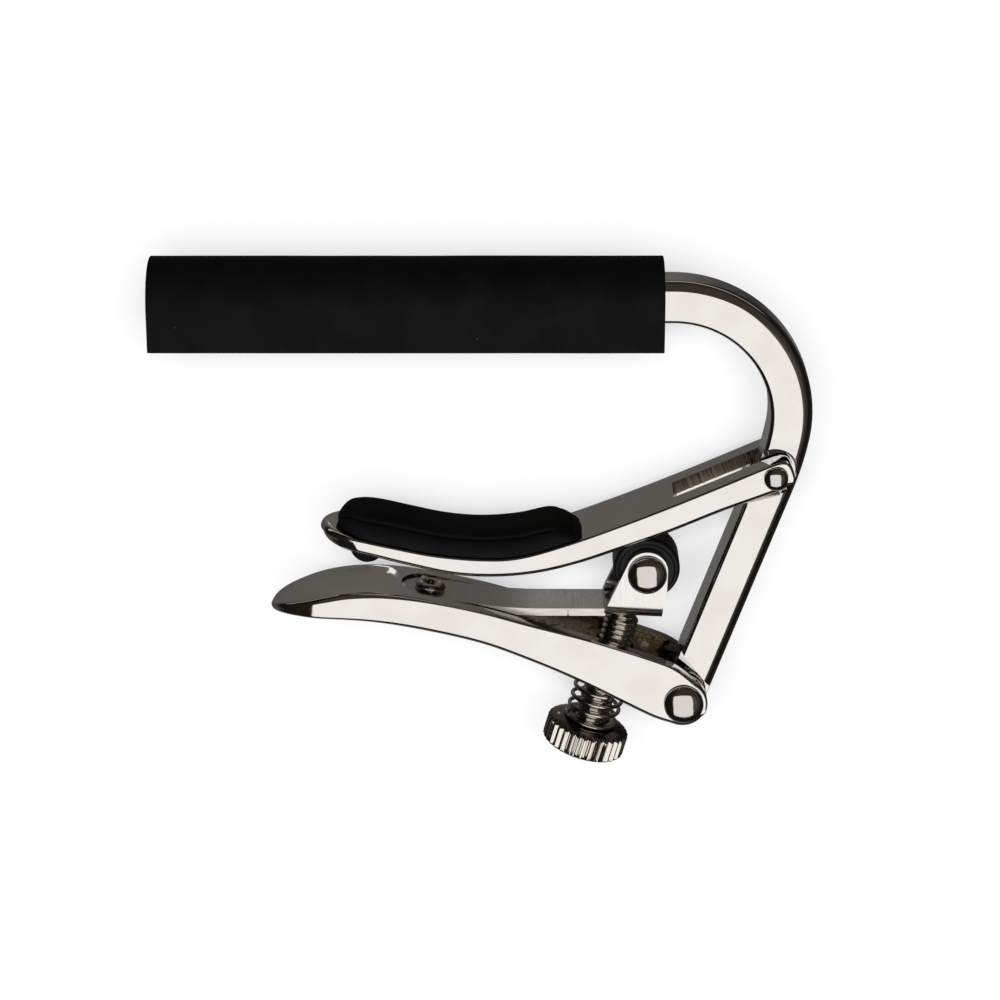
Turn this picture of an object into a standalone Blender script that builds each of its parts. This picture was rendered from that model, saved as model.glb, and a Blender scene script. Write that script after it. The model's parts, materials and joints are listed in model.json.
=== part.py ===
"""Guitar capo with an over-centre lever: a bent bar carries a rubber string sleeve, a pressure
arm with a rubber neck pad swings on the bar's side leg, and a cast lever at the foot of that leg
pushes a roller against the underside of the arm. A knurled screw under the lever sets the
roller's height.

Frame: origin at the centre of the sleeve's flat underside, +X towards the bend of the bar,
+Y across the width, +Z from the underside up through the sleeve. Lengths are millimetres, angles
degrees and places (x, z) pairs, unless said otherwise. "Near" is the -Y side, "far" the +Y side.
"""

import math

import bmesh
import bpy
import numpy as np
from mathutils import Matrix, Vector

MM = 0.001

# ----------------------------------------------------------------------------- shared dimensions
ARM_PIVOT = (42.18, -15.10)
LEVER_PIVOT = (32.18, -43.36)
ROLLER_AXLE = (27.70, -27.42)

PIN_R_ARM, PIN_R_LEVER, PIN_R_AXLE = 0.85, 1.1, 1.1
FIT = 0.3  # clearance between a pin and its hole
GAP = 0.12  # clearance under heads

BAR_AXIS_Z = 5.13  # centre line of the straight string leg
NECK_HALF = 2.0  # half width of the bar's milled necks at both pivots

ARM_DIR = Vector((-0.9285, -0.3714))  # from the pivot along the arm at rest
ARM_DOWN = Vector((-ARM_DIR[1], ARM_DIR[0]))  # square to it, on the lower side
ARM_ANGLE = math.degrees(math.atan2(ARM_DIR[1], ARM_DIR[0]))
ARM_HALF = 5.0
PLUG_AT, PLUG_LEAN = (-4.6, -24.0), 14.0

LEVER_HALF = 5.0
CHANNEL_HALF = 3.3

LEAF_HALF = 3.0
LEAF_THICK = 0.9
CLEVIS_HALF = 3.9
FLEX_AT = (2.4, -31.1)
RIVET_AT = (2.4, -30.62)
RIVET_LEAN = 9.0  # the leaf runs downhill towards +X here

SCREW_FOOT = (21.86, -45.74)  # a point on the screw's axis
SCREW_LEAN = 15.7  # from the vertical, top towards +X
SCREW_R = 2.0
WASHER_TOP = -1.35  # height along the screw's axis

# ----------------------------------------------------------------------------- a clean scene
for old in list(bpy.data.objects):
    bpy.data.objects.remove(old, do_unlink=True)

PARTS = bpy.data.collections.new("guitar_capo")
CUTS = bpy.data.collections.new("cutters")
bpy.context.scene.collection.children.link(PARTS)
bpy.context.scene.collection.children.link(CUTS)
CUTS.hide_render = True


# ----------------------------------------------------------------------------- materials
def material(name, colour, roughness, metallic):
    mat = bpy.data.materials.new(name)
    mat.use_nodes = True
    shader = mat.node_tree.nodes["Principled BSDF"]
    shader.inputs["Base Color"].default_value = (*colour, 1.0)
    shader.inputs["Roughness"].default_value = roughness
    shader.inputs["Metallic"].default_value = metallic
    return mat


NICKEL = material("polished_nickel", colour=(0.72, 0.70, 0.67), roughness=0.12, metallic=1.0)
STEEL = material("brushed_spring_steel", colour=(0.62, 0.61, 0.60), roughness=0.28, metallic=1.0)
SCREW_METAL = material("plated_screw", colour=(0.55, 0.52, 0.48), roughness=0.22, metallic=1.0)
RUBBER = material("black_rubber", colour=(0.012, 0.012, 0.012), roughness=0.62, metallic=0.0)
NYLON = material("black_nylon", colour=(0.02, 0.02, 0.02), roughness=0.45, metallic=0.0)


# ----------------------------------------------------------------------------- outlines
def smooth(points, per):
    """A uniform Catmull-Rom curve through the points, in per steps from each to the next."""
    pts = [Vector(point) for point in points]
    pts = [2 * pts[0] - pts[1]] + pts + [2 * pts[-1] - pts[-2]]
    out = []
    for i in range(1, len(pts) - 2):
        before, start, end, after = pts[i - 1 : i + 3]
        for k in range(per):
            t = k / per
            out.append(
                0.5
                * (
                    2 * start
                    + (end - before) * t
                    + (2 * before - 5 * start + 4 * end - after) * t * t
                    + (3 * start - before - 3 * end + after) * t ** 3
                )
            )
    out.append(pts[-2])
    return [tuple(point) for point in out]


def arc(centre, radius, start, end, count):
    """Points on a circle, angles in degrees from the first axis towards the second."""
    angles = [math.radians(start + (end - start) * i / count) for i in range(count + 1)]
    return [
        (centre[0] + radius * math.cos(a), centre[1] + radius * math.sin(a)) for a in angles
    ]


def nosed_plan(tail_x, nose_x, reach, half, count):
    """(x, y) plan, square at tail_x, with a half-ellipse nose reaching to -X from nose_x."""
    return [(tail_x, -half), (tail_x, half)] + [
        (
            nose_x - reach * math.sin(math.pi * i / count),
            half * math.cos(math.pi * i / count),
        )
        for i in range(count + 1)
    ]


def signed_power(value, exponent):
    return math.copysign(abs(value) ** exponent, value)


# ----------------------------------------------------------------------------- placing
def leaning(at, lean):
    """Origin at (x, z) in the middle of the width, local +Z tipped by lean towards +X."""
    return Matrix.Translation((at[0] * MM, 0, at[1] * MM)) @ Matrix.Rotation(
        math.radians(lean), 4, "Y"
    )


def facing(at, y, side):
    """Local +Z to world -Y (side -1) or +Y (side +1), origin at (x, y, z)."""
    turn = Matrix.Rotation(-side * math.pi / 2, 4, "X")
    return Matrix.Translation((at[0] * MM, y * MM, at[1] * MM)) @ turn


PLUG_PLACE = leaning(PLUG_AT, PLUG_LEAN)
RIVET_PLACE = leaning(RIVET_AT, RIVET_LEAN)
SCREW_PLACE = leaning(SCREW_FOOT, SCREW_LEAN)


# ----------------------------------------------------------------------------- solids
def add_object(name, data, collection):
    obj = bpy.data.objects.new(name, data)
    collection.objects.link(obj)
    if collection is CUTS:
        obj.hide_render = True
        obj.display_type = "WIRE"
    return obj


def mesh_object(name, bm, collection):
    bmesh.ops.recalc_face_normals(bm, faces=bm.faces[:])
    mesh = bpy.data.meshes.new(name)
    bm.to_mesh(mesh)
    bm.free()
    return add_object(name, mesh, collection)


def outline_solid(name, outline, low, high, collection=PARTS, plane="XZ"):
    """A flat outline as a filled 2D curve, extruded between low and high on the third axis."""
    curve = bpy.data.curves.new(name, "CURVE")
    curve.dimensions = "2D"
    curve.fill_mode = "BOTH"
    curve.extrude = (high - low) / 2 * MM
    spline = curve.splines.new("POLY")
    spline.points.add(len(outline) - 1)
    for point, (u, v) in zip(spline.points, outline):
        point.co = (u * MM, v * MM, 0, 1)
    spline.use_cyclic_u = True
    flat = bpy.data.objects.new(name + "_flat", curve)
    bpy.context.scene.collection.objects.link(flat)
    middle = (low + high) / 2 * MM
    if plane == "XZ":
        place = Matrix.Translation((0, middle, 0)) @ Matrix.Rotation(math.pi / 2, 4, "X")
    elif plane == "XY":
        place = Matrix.Translation((0, 0, middle))
    else:  # YZ: outline u is Y, v is Z
        place = Matrix.Translation((middle, 0, 0)) @ Matrix(
            ((0, 0, 1, 0), (1, 0, 0, 0), (0, 1, 0, 0), (0, 0, 0, 1))
        )
    bpy.context.view_layer.update()
    mesh = bpy.data.meshes.new_from_object(
        flat.evaluated_get(bpy.context.evaluated_depsgraph_get())
    )
    bpy.data.objects.remove(flat, do_unlink=True)
    bm = bmesh.new()
    bm.from_mesh(mesh)
    bpy.data.meshes.remove(mesh)
    bmesh.ops.remove_doubles(bm, verts=bm.verts[:], dist=1e-6)
    bmesh.ops.transform(bm, matrix=place, verts=bm.verts[:])
    return mesh_object(name, bm, collection)


def loft(name, sections, collection=PARTS):
    """A capped skin over closed sections, each a list of (x, y, z) with the same count."""
    bm = bmesh.new()
    rings = [
        [bm.verts.new((x * MM, y * MM, z * MM)) for x, y, z in section] for section in sections
    ]
    count = len(rings[0])
    for ring, following in zip(rings, rings[1:]):
        for i in range(count):
            j = (i + 1) % count
            bm.faces.new((ring[i], ring[j], following[j], following[i]))
    bm.faces.new(rings[0][::-1])
    bm.faces.new(rings[-1])
    return mesh_object(name, bm, collection)


def sweep(name, path, section, collection=PARTS):
    """A (y, offset) section carried along ((x, z), normal) stations, offset on the normal."""
    sections = [
        [(x + normal_x * offset, y, z + normal_z * offset) for y, offset in section]
        for (x, z), (normal_x, normal_z) in path
    ]
    return loft(name, sections, collection)


def rod(name, at, radius, low, high, sides):
    """A cutter cylinder along Y between low and high, centred on at."""
    bm = bmesh.new()
    bmesh.ops.create_cone(
        bm,
        cap_ends=True,
        segments=sides,
        radius1=radius * MM,
        radius2=radius * MM,
        depth=(high - low) * MM,
        matrix=Matrix.Translation((at[0] * MM, (low + high) / 2 * MM, at[1] * MM))
        @ Matrix.Rotation(math.pi / 2, 4, "X"),
    )
    return mesh_object(name, bm, CUTS)


def turned(name, profile, steps, place, collection=PARTS, closed=False):
    """A turned solid from (radius, height) pairs: from the axis round to the axis again, or
    a closed profile off the axis for a ring."""
    bm = bmesh.new()
    verts = [bm.verts.new((radius * MM, 0, height * MM)) for radius, height in profile]
    for start, end in zip(verts, verts[1:] + (verts[:1] if closed else [])):
        bm.edges.new((start, end))
    mesh = bpy.data.meshes.new(name)
    bm.to_mesh(mesh)
    bm.free()
    obj = add_object(name, mesh, collection)
    obj.matrix_world = place
    mod = obj.modifiers.new("turn", "SCREW")
    mod.axis = "Z"
    mod.steps = mod.render_steps = steps
    mod.use_merge_vertices = True
    mod.merge_threshold = 1e-6
    return obj


# ----------------------------------------------------------------------------- working a solid
def boolean(obj, other, operation="DIFFERENCE"):
    mod = obj.modifiers.new(operation.lower() + "_" + other.name, "BOOLEAN")
    mod.operation = operation
    mod.object = other
    mod.solver = "EXACT"


def drill(obj, name, radius, top, bottom, steps, place):
    """A round cut along the local Z of place, between two heights."""
    profile = [(0, top), (radius, top), (radius, bottom), (0, bottom)]
    boolean(obj, turned(name, profile, steps, place, CUTS))


def cross_drill(obj, name, at, radius, half, sides):
    """A round cut along Y, from -half to half."""
    boolean(obj, rod(name, at, radius, -half, half, sides))


def sides_of(start, end):
    """(label, low, high) of a span in Y on the near side and mirrored on the far side."""
    return [("near", -end, -start), ("far", start, end)]


def settle(obj):
    """The object's modifiers baked into its mesh, so that they come before later cuts."""
    bpy.context.view_layer.update()
    graph = bpy.context.evaluated_depsgraph_get()
    mesh = bpy.data.meshes.new_from_object(obj.evaluated_get(graph))
    obj.modifiers.clear()
    obj.data = mesh


def round_edges(obj, width):
    mod = obj.modifiers.new("edge_round", "BEVEL")
    mod.width = width * MM
    mod.segments = 2
    mod.limit_method = "ANGLE"
    mod.angle_limit = math.radians(50)
    settle(obj)


def plate(name, side, half_width, plan_name, plan, plan_low, plan_high):
    """A side outline across the full width, trimmed to a plan that spans the given heights."""
    obj = outline_solid(name, side, -half_width, half_width)
    trim = outline_solid(plan_name, plan, plan_low, plan_high, CUTS, plane="XY")
    boolean(obj, trim, "INTERSECT")
    settle(obj)
    return obj


def finish(obj, mat):
    obj.data.materials.clear()
    obj.data.materials.append(mat)
    if len(obj.data.polygons):  # turned pieces get their faces from the modifier
        obj.data.shade_smooth()
        obj.data.set_sharp_from_angle(angle=math.radians(35))
    return obj


def axis_empty(name, at):
    empty = bpy.data.objects.new(name, None)
    empty.empty_display_size = 0.004
    empty.location = (at[0] * MM, 0, at[1] * MM)
    PARTS.objects.link(empty)
    return empty


def carry(empty, *objects):
    """Parent the objects to the empty without moving them."""
    bpy.context.view_layer.update()
    for obj in objects:
        obj.parent = empty
        obj.matrix_parent_inverse = empty.matrix_world.inverted()


# ----------------------------------------------------------------------------- the bent bar
BAR_THICK = 4.9  # in the plane of the bend
BAR_WIDTH = 5.6  # across, along Y
BAR_OUTER_ROUND = 1.25
BAR_INNER_ROUND = 0.6
BAR_START_X = -28.3
BEND_START_X = 30.2
LEG_ANGLE = 20.0  # side leg from the vertical
TIGHT_TURN = 100.5  # turning in the tight part of the bend
# radius, turning at its start and at its end, steps
BENDS = [(13.8, 0.0, TIGHT_TURN, 14), (36.0, TIGHT_TURN, 90 + LEG_ANGLE, 3)]
FOOT_R = 2.4
ARM_NECK_R = 2.95
ARM_NECK_REACH, ARM_NECK_END_HALF = 7, 2.12
STEP_AT = Vector((32.95, -39.15))  # the straight step above the foot's necks
STEP_DIR = Vector((0.60, -0.80))
STEP_UP = Vector((-STEP_DIR[1], STEP_DIR[0]))  # away from the foot
STEP_HALF, STEP_DEPTH = 9, 14
NECK_CUT_OUT = 4.0  # how far out in Y the neck cutters reach


def bar_path():
    """((x, z), outward normal) along the bar's centre line, from its hidden end to its foot."""
    path = [((x, BAR_AXIS_Z), (0.0, 1.0)) for x in (BAR_START_X, BEND_START_X)]
    for radius, turn_from, turn_to, count in BENDS:
        (x, z), normal = path[-1]
        centre = (x - radius * normal[0], z - radius * normal[1])
        for i in range(1, count + 1):
            turn = math.radians(turn_from + (turn_to - turn_from) * i / count)
            normal = (math.sin(turn), math.cos(turn))
            point = (centre[0] + radius * normal[0], centre[1] + radius * normal[1])
            path.append((point, normal))
    (x, z), normal = path[-1]
    lean = math.radians(LEG_ANGLE)
    reach = (z - LEVER_PIVOT[1]) / math.cos(lean)
    path.append(((x - math.sin(lean) * reach, z - math.cos(lean) * reach), normal))
    return path


def bar_section(grow=0.0):
    """(y, offset along the outward normal) of the bar's section: larger rounds outside."""
    half_thick, half_width = BAR_THICK / 2 + grow, BAR_WIDTH / 2 + grow
    # Y side, side along the normal, round, start angle, steps
    corners = [
        (1, 1, BAR_OUTER_ROUND, 0, 4),
        (-1, 1, BAR_OUTER_ROUND, 90, 4),
        (-1, -1, BAR_INNER_ROUND, 180, 3),
        (1, -1, BAR_INNER_ROUND, 270, 3),
    ]
    section = []
    for y_side, normal_side, corner_round, start, count in corners:
        radius = corner_round + grow
        centre = (y_side * (half_width - radius), normal_side * (half_thick - radius))
        section += arc(centre, radius, start, start + 90, count)
    return section


def build_frame_bar():
    bar = sweep("frame_bar", bar_path(), bar_section())
    boolean(bar, rod("bar_foot", LEVER_PIVOT, FOOT_R, -NECK_HALF, NECK_HALF, 28), "UNION")
    # at the arm pivot: a round pocket that runs out towards the arm
    pocket_end = Vector(ARM_PIVOT) + ARM_DIR * ARM_NECK_REACH
    arm_neck = arc(ARM_PIVOT, ARM_NECK_R, ARM_ANGLE - 82, ARM_ANGLE - 278, 18) + [
        tuple(pocket_end + ARM_DOWN * ARM_NECK_END_HALF),
        tuple(pocket_end - ARM_DOWN * ARM_NECK_END_HALF),
    ]
    # at the foot: everything below the step
    foot_neck = [
        tuple(STEP_AT - STEP_DIR * STEP_HALF),
        tuple(STEP_AT + STEP_DIR * STEP_HALF),
        tuple(STEP_AT + STEP_DIR * STEP_HALF - STEP_UP * STEP_DEPTH),
        tuple(STEP_AT - STEP_DIR * STEP_HALF - STEP_UP * STEP_DEPTH),
    ]
    for name, outline in (("arm_neck_", arm_neck), ("foot_neck_", foot_neck)):
        for label, low, high in sides_of(NECK_HALF, NECK_CUT_OUT):
            boolean(bar, outline_solid(name + label, outline, low, high, CUTS))
    cross_drill(bar, "bar_hole_arm", ARM_PIVOT, PIN_R_ARM + FIT, 6, 20)
    cross_drill(bar, "bar_hole_lever", LEVER_PIVOT, PIN_R_LEVER + FIT, 6, 24)
    finish(bar, NICKEL)


# ----------------------------------------------------------------------------- string sleeve
SLEEVE_LENGTH = 58.3
SLEEVE_WIDTH = 10.7
SLEEVE_HEIGHT = 9.65
SLEEVE_SIDE = 4.6  # height of the upright sides, under the arch
SLEEVE_ARCH_POWER = 0.92  # below 1 the arch is fuller than an ellipse
SLEEVE_FIT = 0.25  # around the bar


def sleeve_outline():
    """(y, z) of the sleeve's section: flat underside, upright sides, arched top."""
    half, rise = SLEEVE_WIDTH / 2, SLEEVE_HEIGHT - SLEEVE_SIDE
    outline = [(-half + 0.35, 0.0), (half - 0.35, 0.0), (half - 0.1, 0.1), (half, 0.35)]
    for i in range(17):
        angle = math.pi * i / 16
        outline.append(
            (
                half * signed_power(math.cos(angle), SLEEVE_ARCH_POWER),
                SLEEVE_SIDE + rise * abs(math.sin(angle)) ** SLEEVE_ARCH_POWER,
            )
        )
    return outline + [(-half, 0.35), (-half + 0.1, 0.1)]


def build_string_sleeve():
    half = SLEEVE_LENGTH / 2
    sleeve = outline_solid("string_sleeve", sleeve_outline(), -half, half, plane="YZ")
    bore_path = [((x, BAR_AXIS_Z), (0.0, 1.0)) for x in (-40.0, 40.0)]
    boolean(sleeve, sweep("sleeve_bore", bore_path, bar_section(SLEEVE_FIT), CUTS))
    finish(sleeve, RUBBER)


# ----------------------------------------------------------------------------- pressure arm
ARM_EAR = 2.25
ARM_EAR_TOP = (39.6, -14.98)  # where the upper side meets the ear
ARM_EDGE_ROUND = 0.28
ARM_SLOT_HALF = 2.32
ARM_SLOT_END = 11.9  # from the pivot to the closed end of the slot
ARM_SLOT_LENGTH, ARM_SLOT_DEPTH_HALF = 20, 6  # the cutter runs past the arm
PLUG_HOLE_R = 1.9

# (x, z) along the upper side towards +X, and back along the lower side
ARM_TOP = smooth(
    [
        (-10.3, -21.75), (-6.5, -22.55), (-2.6, -23.45), (2.98, -24.6), (8.57, -25.12),
        (13.0, -24.85), (18.35, -23.3), (24.4, -21.0), (28.6, -19.35),
    ],
    3,
)
ARM_BOTTOM = smooth(
    [
        (36.0, -19.35), (30.0, -21.8), (24.45, -24.2), (19.5, -25.95), (14.8, -27.05),
        (9.97, -27.5), (5.0, -27.2), (-0.5, -25.95), (-5.41, -24.65), (-10.3, -23.7),
    ],
    3,
)


def build_pressure_arm():
    ear = arc(ARM_PIVOT, ARM_EAR, ARM_ANGLE + 242, ARM_ANGLE + 102, 14)
    side = ARM_TOP + [ARM_EAR_TOP] + ear + ARM_BOTTOM
    plan = nosed_plan(tail_x=50, nose_x=-5.1, reach=5.0, half=ARM_HALF * 1.02, count=16)
    arm = plate("pressure_arm", side, ARM_HALF, "arm_plan", plan, -60, 20)
    round_edges(arm, ARM_EDGE_ROUND)
    closed_end = Vector(ARM_PIVOT) + ARM_DIR * ARM_SLOT_END
    open_end = closed_end - ARM_DIR * ARM_SLOT_LENGTH
    across = ARM_DOWN * ARM_SLOT_DEPTH_HALF
    slot = [
        tuple(closed_end + across),
        tuple(open_end + across),
        tuple(open_end - across),
        tuple(closed_end - across),
    ]
    boolean(arm, outline_solid("arm_slot", slot, -ARM_SLOT_HALF, ARM_SLOT_HALF, CUTS))
    cross_drill(arm, "arm_hole", ARM_PIVOT, PIN_R_ARM + FIT, 8, 20)
    drill(arm, "plug_hole", PLUG_HOLE_R, 4, -4, 20, PLUG_PLACE)
    return finish(arm, NICKEL)


# ----------------------------------------------------------------------------- neck pad
PAD_GAP = 0.14  # over the arm
PAD_START, PAD_END = -8.9, 20.3
PAD_INSET = 0.05  # of the end stations, so that they keep some width
PAD_HALF = 4.86
PAD_NOSE = 4.4  # length over which the plan rounds off at -X
PAD_STATIONS = 30

# (x, z) along the ridge of the pad
PAD_CROWN = smooth(
    [
        (-8.4, -20.9), (-6.6, -20.1), (-3.5, -20.35), (0, -21.15), (4.3, -22.1),
        (8.5, -22.45), (12.8, -22.1), (15.9, -21.4), (18.0, -21.3), (19.9, -22.1),
    ],
    4,
)
# (radius, height) of the plug that holds the pad in the arm
PLUG_PROFILE = [
    (0, 1.9), (1.6, 1.9), (1.6, -1.25), (2.05, -1.45), (2.05, -1.75), (1.5, -2.7),
    (0.7, -3.2), (0, -3.3),
]


def height_on(points, x):
    return np.interp(x, *zip(*points))


def pad_section(x):
    """Points of the pad across the arm at x: a foot, a small step and a crowned top."""
    nose = min((x - PAD_START) / PAD_NOSE, 1.0)
    half = min(PAD_HALF * math.sqrt(1 - (1 - nose) ** 2) + 0.05, PAD_HALF)
    inner = max(half - 0.35, half * 0.85)
    base = height_on(ARM_TOP, x) + PAD_GAP
    end_fade = min((x - PAD_START) / 3.6, (PAD_END - x) / 1.6, 1.0)
    rise = max(height_on(PAD_CROWN, x) - base, 0.4) * (0.35 + 0.65 * math.sqrt(end_fade))
    foot = min(1.05, rise * 0.45)
    side = [
        (half * 0.97, base),
        (half, base + 0.15),
        (half, base + foot * 0.8),
        (inner + 0.1, base + foot),
    ]
    crown = []
    for i in range(9):
        angle = math.pi * i / 8
        lift = 0.12 + 0.88 * abs(math.sin(angle)) ** 0.7
        y = inner * signed_power(math.cos(angle), 0.75)
        crown.append((y, base + foot + (rise - foot) * lift))
    mirrored = [(-y, z) for y, z in reversed(side)]
    return [(x, y, z) for y, z in side + crown + mirrored]


def build_neck_pad():
    """Stations lie closer together towards both ends."""
    first, length = PAD_START + PAD_INSET, PAD_END - PAD_START - 2 * PAD_INSET
    stations = [
        first + length * (0.5 - 0.5 * math.cos(math.pi * i / PAD_STATIONS))
        for i in range(PAD_STATIONS + 1)
    ]
    pad = loft("neck_pad", [pad_section(x) for x in stations])
    boolean(pad, turned("pad_plug", PLUG_PROFILE, 20, PLUG_PLACE, CUTS), "UNION")
    return finish(pad, RUBBER)


# ----------------------------------------------------------------------------- lever
LEVER_EAR = 2.9
LEVER_EDGE_ROUND = 0.42
FORK_HALF = 2.4  # between the bosses at the pivot
BOSS_AT = (32.1, -43.45)
RIVET_HOLE_R = 1.1

# (x, z) along the upper side towards +X, and back along the lower side
LEVER_TOP = smooth(
    [
        (-16.3, -32.5), (-15.0, -31.75), (-12.4, -30.75), (-9.5, -30.0), (-6.6, -29.55),
        (-3.0, -29.55), (1.6, -30.1), (8.56, -31.4), (14.1, -33.0), (21.2, -35.05),
        (28.4, -37.6), (31.3, -39.05), (33.6, -41.0),
    ],
    3,
)
LEVER_BOTTOM = smooth(
    [
        (31.2, -46.25), (28.54, -45.3), (24.9, -43.4), (19.9, -40.75), (14.6, -38.3),
        (8.5, -35.9), (1.5, -34.15), (-5.2, -33.0), (-12.3, -32.6), (-16.3, -32.75),
    ],
    3,
)
# (x, z) of the channel's floor: shallow under the leaf, deeper towards the pivot
CHANNEL_FLOOR = [
    (1.9, -31.62), (3.4, -32.0), (6.5, -32.85), (8.8, -33.7), (14.0, -35.3), (20.0, -36.7),
    (25.2, -37.5), (28.4, -38.9),
]


def build_lever():
    side = LEVER_TOP + arc((32.1, -43.5), LEVER_EAR, 48, -105, 14) + LEVER_BOTTOM
    plan = nosed_plan(tail_x=50, nose_x=-9.4, reach=6.9, half=5.1, count=16)
    lever = plate("lever", side, LEVER_HALF, "lever_plan", plan, -80, 20)
    round_edges(lever, LEVER_EDGE_ROUND)
    # the channel ends in an open fork around the pivot
    web_end = arc(LEVER_PIVOT, 2.95, 128, 205, 8)[1:]
    past_lever = [(27.0, -50.0), (45.0, -50.0), (45.0, -25.0), (1.9, -25.0)]
    channel = CHANNEL_FLOOR + web_end + past_lever
    boolean(lever, outline_solid("lever_channel", channel, -CHANNEL_HALF, CHANNEL_HALF, CUTS))
    # round end of the channel, under the leaf
    drill(lever, "seat_cut", CHANNEL_HALF, 8, 0, 32, leaning((2.1, -31.65), RIVET_LEAN))
    drill(lever, "rivet_hole", RIVET_HOLE_R, 1.5, -2.6, 16, RIVET_PLACE)
    for label, low, high in sides_of(FORK_HALF, CHANNEL_HALF + 0.4):
        boss = rod("boss_" + label, BOSS_AT, LEVER_EAR - 0.15, low, high, 28)
        boolean(lever, boss, "UNION")
    cross_drill(lever, "lever_hole", LEVER_PIVOT, PIN_R_LEVER + FIT, 8, 24)
    drill(lever, "screw_hole", SCREW_R + FIT, 14, 0, 24, SCREW_PLACE)
    return finish(lever, NICKEL)


# ----------------------------------------------------------------------------- roller bracket
CLEVIS_FLOOR_Z = -33.3  # underside, where the slope crosses CLEVIS_SLOPE_X
CLEVIS_OUTER_ROUND, CLEVIS_INNER_ROUND = 1.1, 0.3
CLEVIS_SLOPE_X, CLEVIS_SLOPE = 26.4, -0.055
RIVET_GAP = 0.22  # under the rivet's head, so that the leaf can tip below it

# (x, z) along the leaf's upper face
LEAF_TOP = [
    (-0.85, -30.1), (2.4, -30.62), (5.0, -31.05), (8.0, -31.5), (11.0, -31.85),
    (14.0, -32.02), (18.0, -32.06), (23.2, -32.08), (26.4, -32.2), (30.4, -32.42),
]
# (x, z) around the clevis from the side: up the -X edge, over the ears, down the +X edge
CLEVIS_SIDE = (
    [(22.75, -34.5), (22.75, -32.2), (23.2, -31.2)]
    + arc((27.68, -27.1), 2.42, 160, 0, 14)
    + [(30.02, -29.8), (29.6, -32.0), (29.45, -34.5)]
)
# (radius, height) of the rivet, head and shank
RIVET_PROFILE = [
    (0, 0.62), (0.5, 0.64), (1.0, 0.72), (1.4, 0.68), (1.75, 0.45), (1.8, RIVET_GAP),
    (0.8, RIVET_GAP), (0.8, -2.3), (0, -2.3),
]


def leaf_side():
    """The leaf's upper face, and back along its lower face one thickness below."""
    top = smooth(LEAF_TOP, 3)
    under = []
    for i, (x, z) in enumerate(top):
        before = Vector(top[max(i - 1, 0)])
        after = Vector(top[min(i + 1, len(top) - 1)])
        along = (after - before).normalized()
        under.append((x + along[1] * LEAF_THICK, z - along[0] * LEAF_THICK))
    return top + under[::-1]


def clevis_section():
    """(y, z) of the folded U, open at the top."""
    half, floor, top = CLEVIS_HALF, CLEVIS_FLOOR_Z, -20.0
    outer, inner = CLEVIS_OUTER_ROUND, CLEVIS_INNER_ROUND
    inner_half = half - LEAF_THICK
    inner_y = inner_half - inner
    inner_z = floor + LEAF_THICK + inner
    return (
        [(half, top)]
        + arc((half - outer, floor + outer), outer, 0, -90, 5)
        + arc((-half + outer, floor + outer), outer, -90, -180, 5)
        + [(-half, top), (-inner_half, top)]
        + arc((-inner_y, inner_z), inner, 180, 270, 3)
        + arc((inner_y, inner_z), inner, 270, 360, 3)
        + [(inner_half, top)]
    )


def build_clevis():
    """The folded U, sloped down towards +X and trimmed to its side outline."""
    clevis = outline_solid("clevis", clevis_section(), 20, 34, CUTS, plane="YZ")
    shear = Matrix.Identity(4)
    shear[2][0] = CLEVIS_SLOPE
    to_slope = Matrix.Translation((CLEVIS_SLOPE_X * MM, 0, 0))
    from_slope = Matrix.Translation((-CLEVIS_SLOPE_X * MM, 0, 0))
    clevis.data.transform(to_slope @ shear @ from_slope)
    boolean(clevis, outline_solid("clevis_ears", CLEVIS_SIDE, -6, 6, CUTS), "INTERSECT")
    settle(clevis)
    return clevis


def build_roller_bracket():
    plan = nosed_plan(tail_x=22.9, nose_x=2.15, reach=LEAF_HALF, half=LEAF_HALF, count=14)
    bracket = plate("roller_bracket", leaf_side(), LEAF_HALF, "leaf_plan", plan, -60, 0)
    boolean(bracket, build_clevis(), "UNION")
    cross_drill(bracket, "axle_hole", ROLLER_AXLE, PIN_R_AXLE + 0.2, 8, 24)
    drill(bracket, "leaf_hole", RIVET_HOLE_R, 3, -3, 16, RIVET_PLACE)
    return finish(bracket, STEEL)


def build_bracket_rivet():
    return finish(turned("bracket_rivet", RIVET_PROFILE, 20, RIVET_PLACE), STEEL)


# ----------------------------------------------------------------------------- roller and pins
ROLLER_R = 3.88
ROLLER_HALF = 2.65
SOCKET_FIT, SOCKET_DEPTH = 0.15, 0.45  # of a cap, around and over the end of its pin
PIN_PAST_FACE = 0.3


def build_roller():
    bore, rim, half = PIN_R_AXLE + FIT, ROLLER_R, ROLLER_HALF
    upper = [(bore, half), (rim - 0.75, half), (rim - 0.25, half - 0.2), (rim, half - 0.65)]
    profile = upper + [(radius, -height) for radius, height in reversed(upper)]
    place = facing(ROLLER_AXLE, 0, -1)
    return finish(turned("roller", profile, 36, place, closed=True), NYLON)


def dome(radius, height):
    """Profile of a domed head, lifted by GAP off its face: apex first, down to the rim."""
    rim = 0.22 * height
    profile = []
    for i in range(7):
        angle = math.radians(90 * i / 6)
        top = GAP + rim + (height - rim) * math.cos(angle)
        profile.append((radius * math.sin(angle), top))
    return profile + [(radius, GAP)]


def build_pin_and_cap(pin_name, cap_name, at, face, head_r, head_h, pin_r):
    """A pin with its head off the near face, y = -face, and a socketed cap off the far one."""
    head = dome(head_r, head_h)
    end = -(2 * face + PIN_PAST_FACE)
    shank = [(pin_r, GAP), (pin_r, end), (0, end)]
    socket_r, socket_top = pin_r + SOCKET_FIT, GAP + SOCKET_DEPTH
    socket = [(socket_r, GAP), (socket_r, socket_top), (0, socket_top)]
    return (
        finish(turned(pin_name, head + shank, 24, facing(at, -face, -1)), NICKEL),
        finish(turned(cap_name, head + socket, 24, facing(at, face, 1)), NICKEL),
    )


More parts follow.
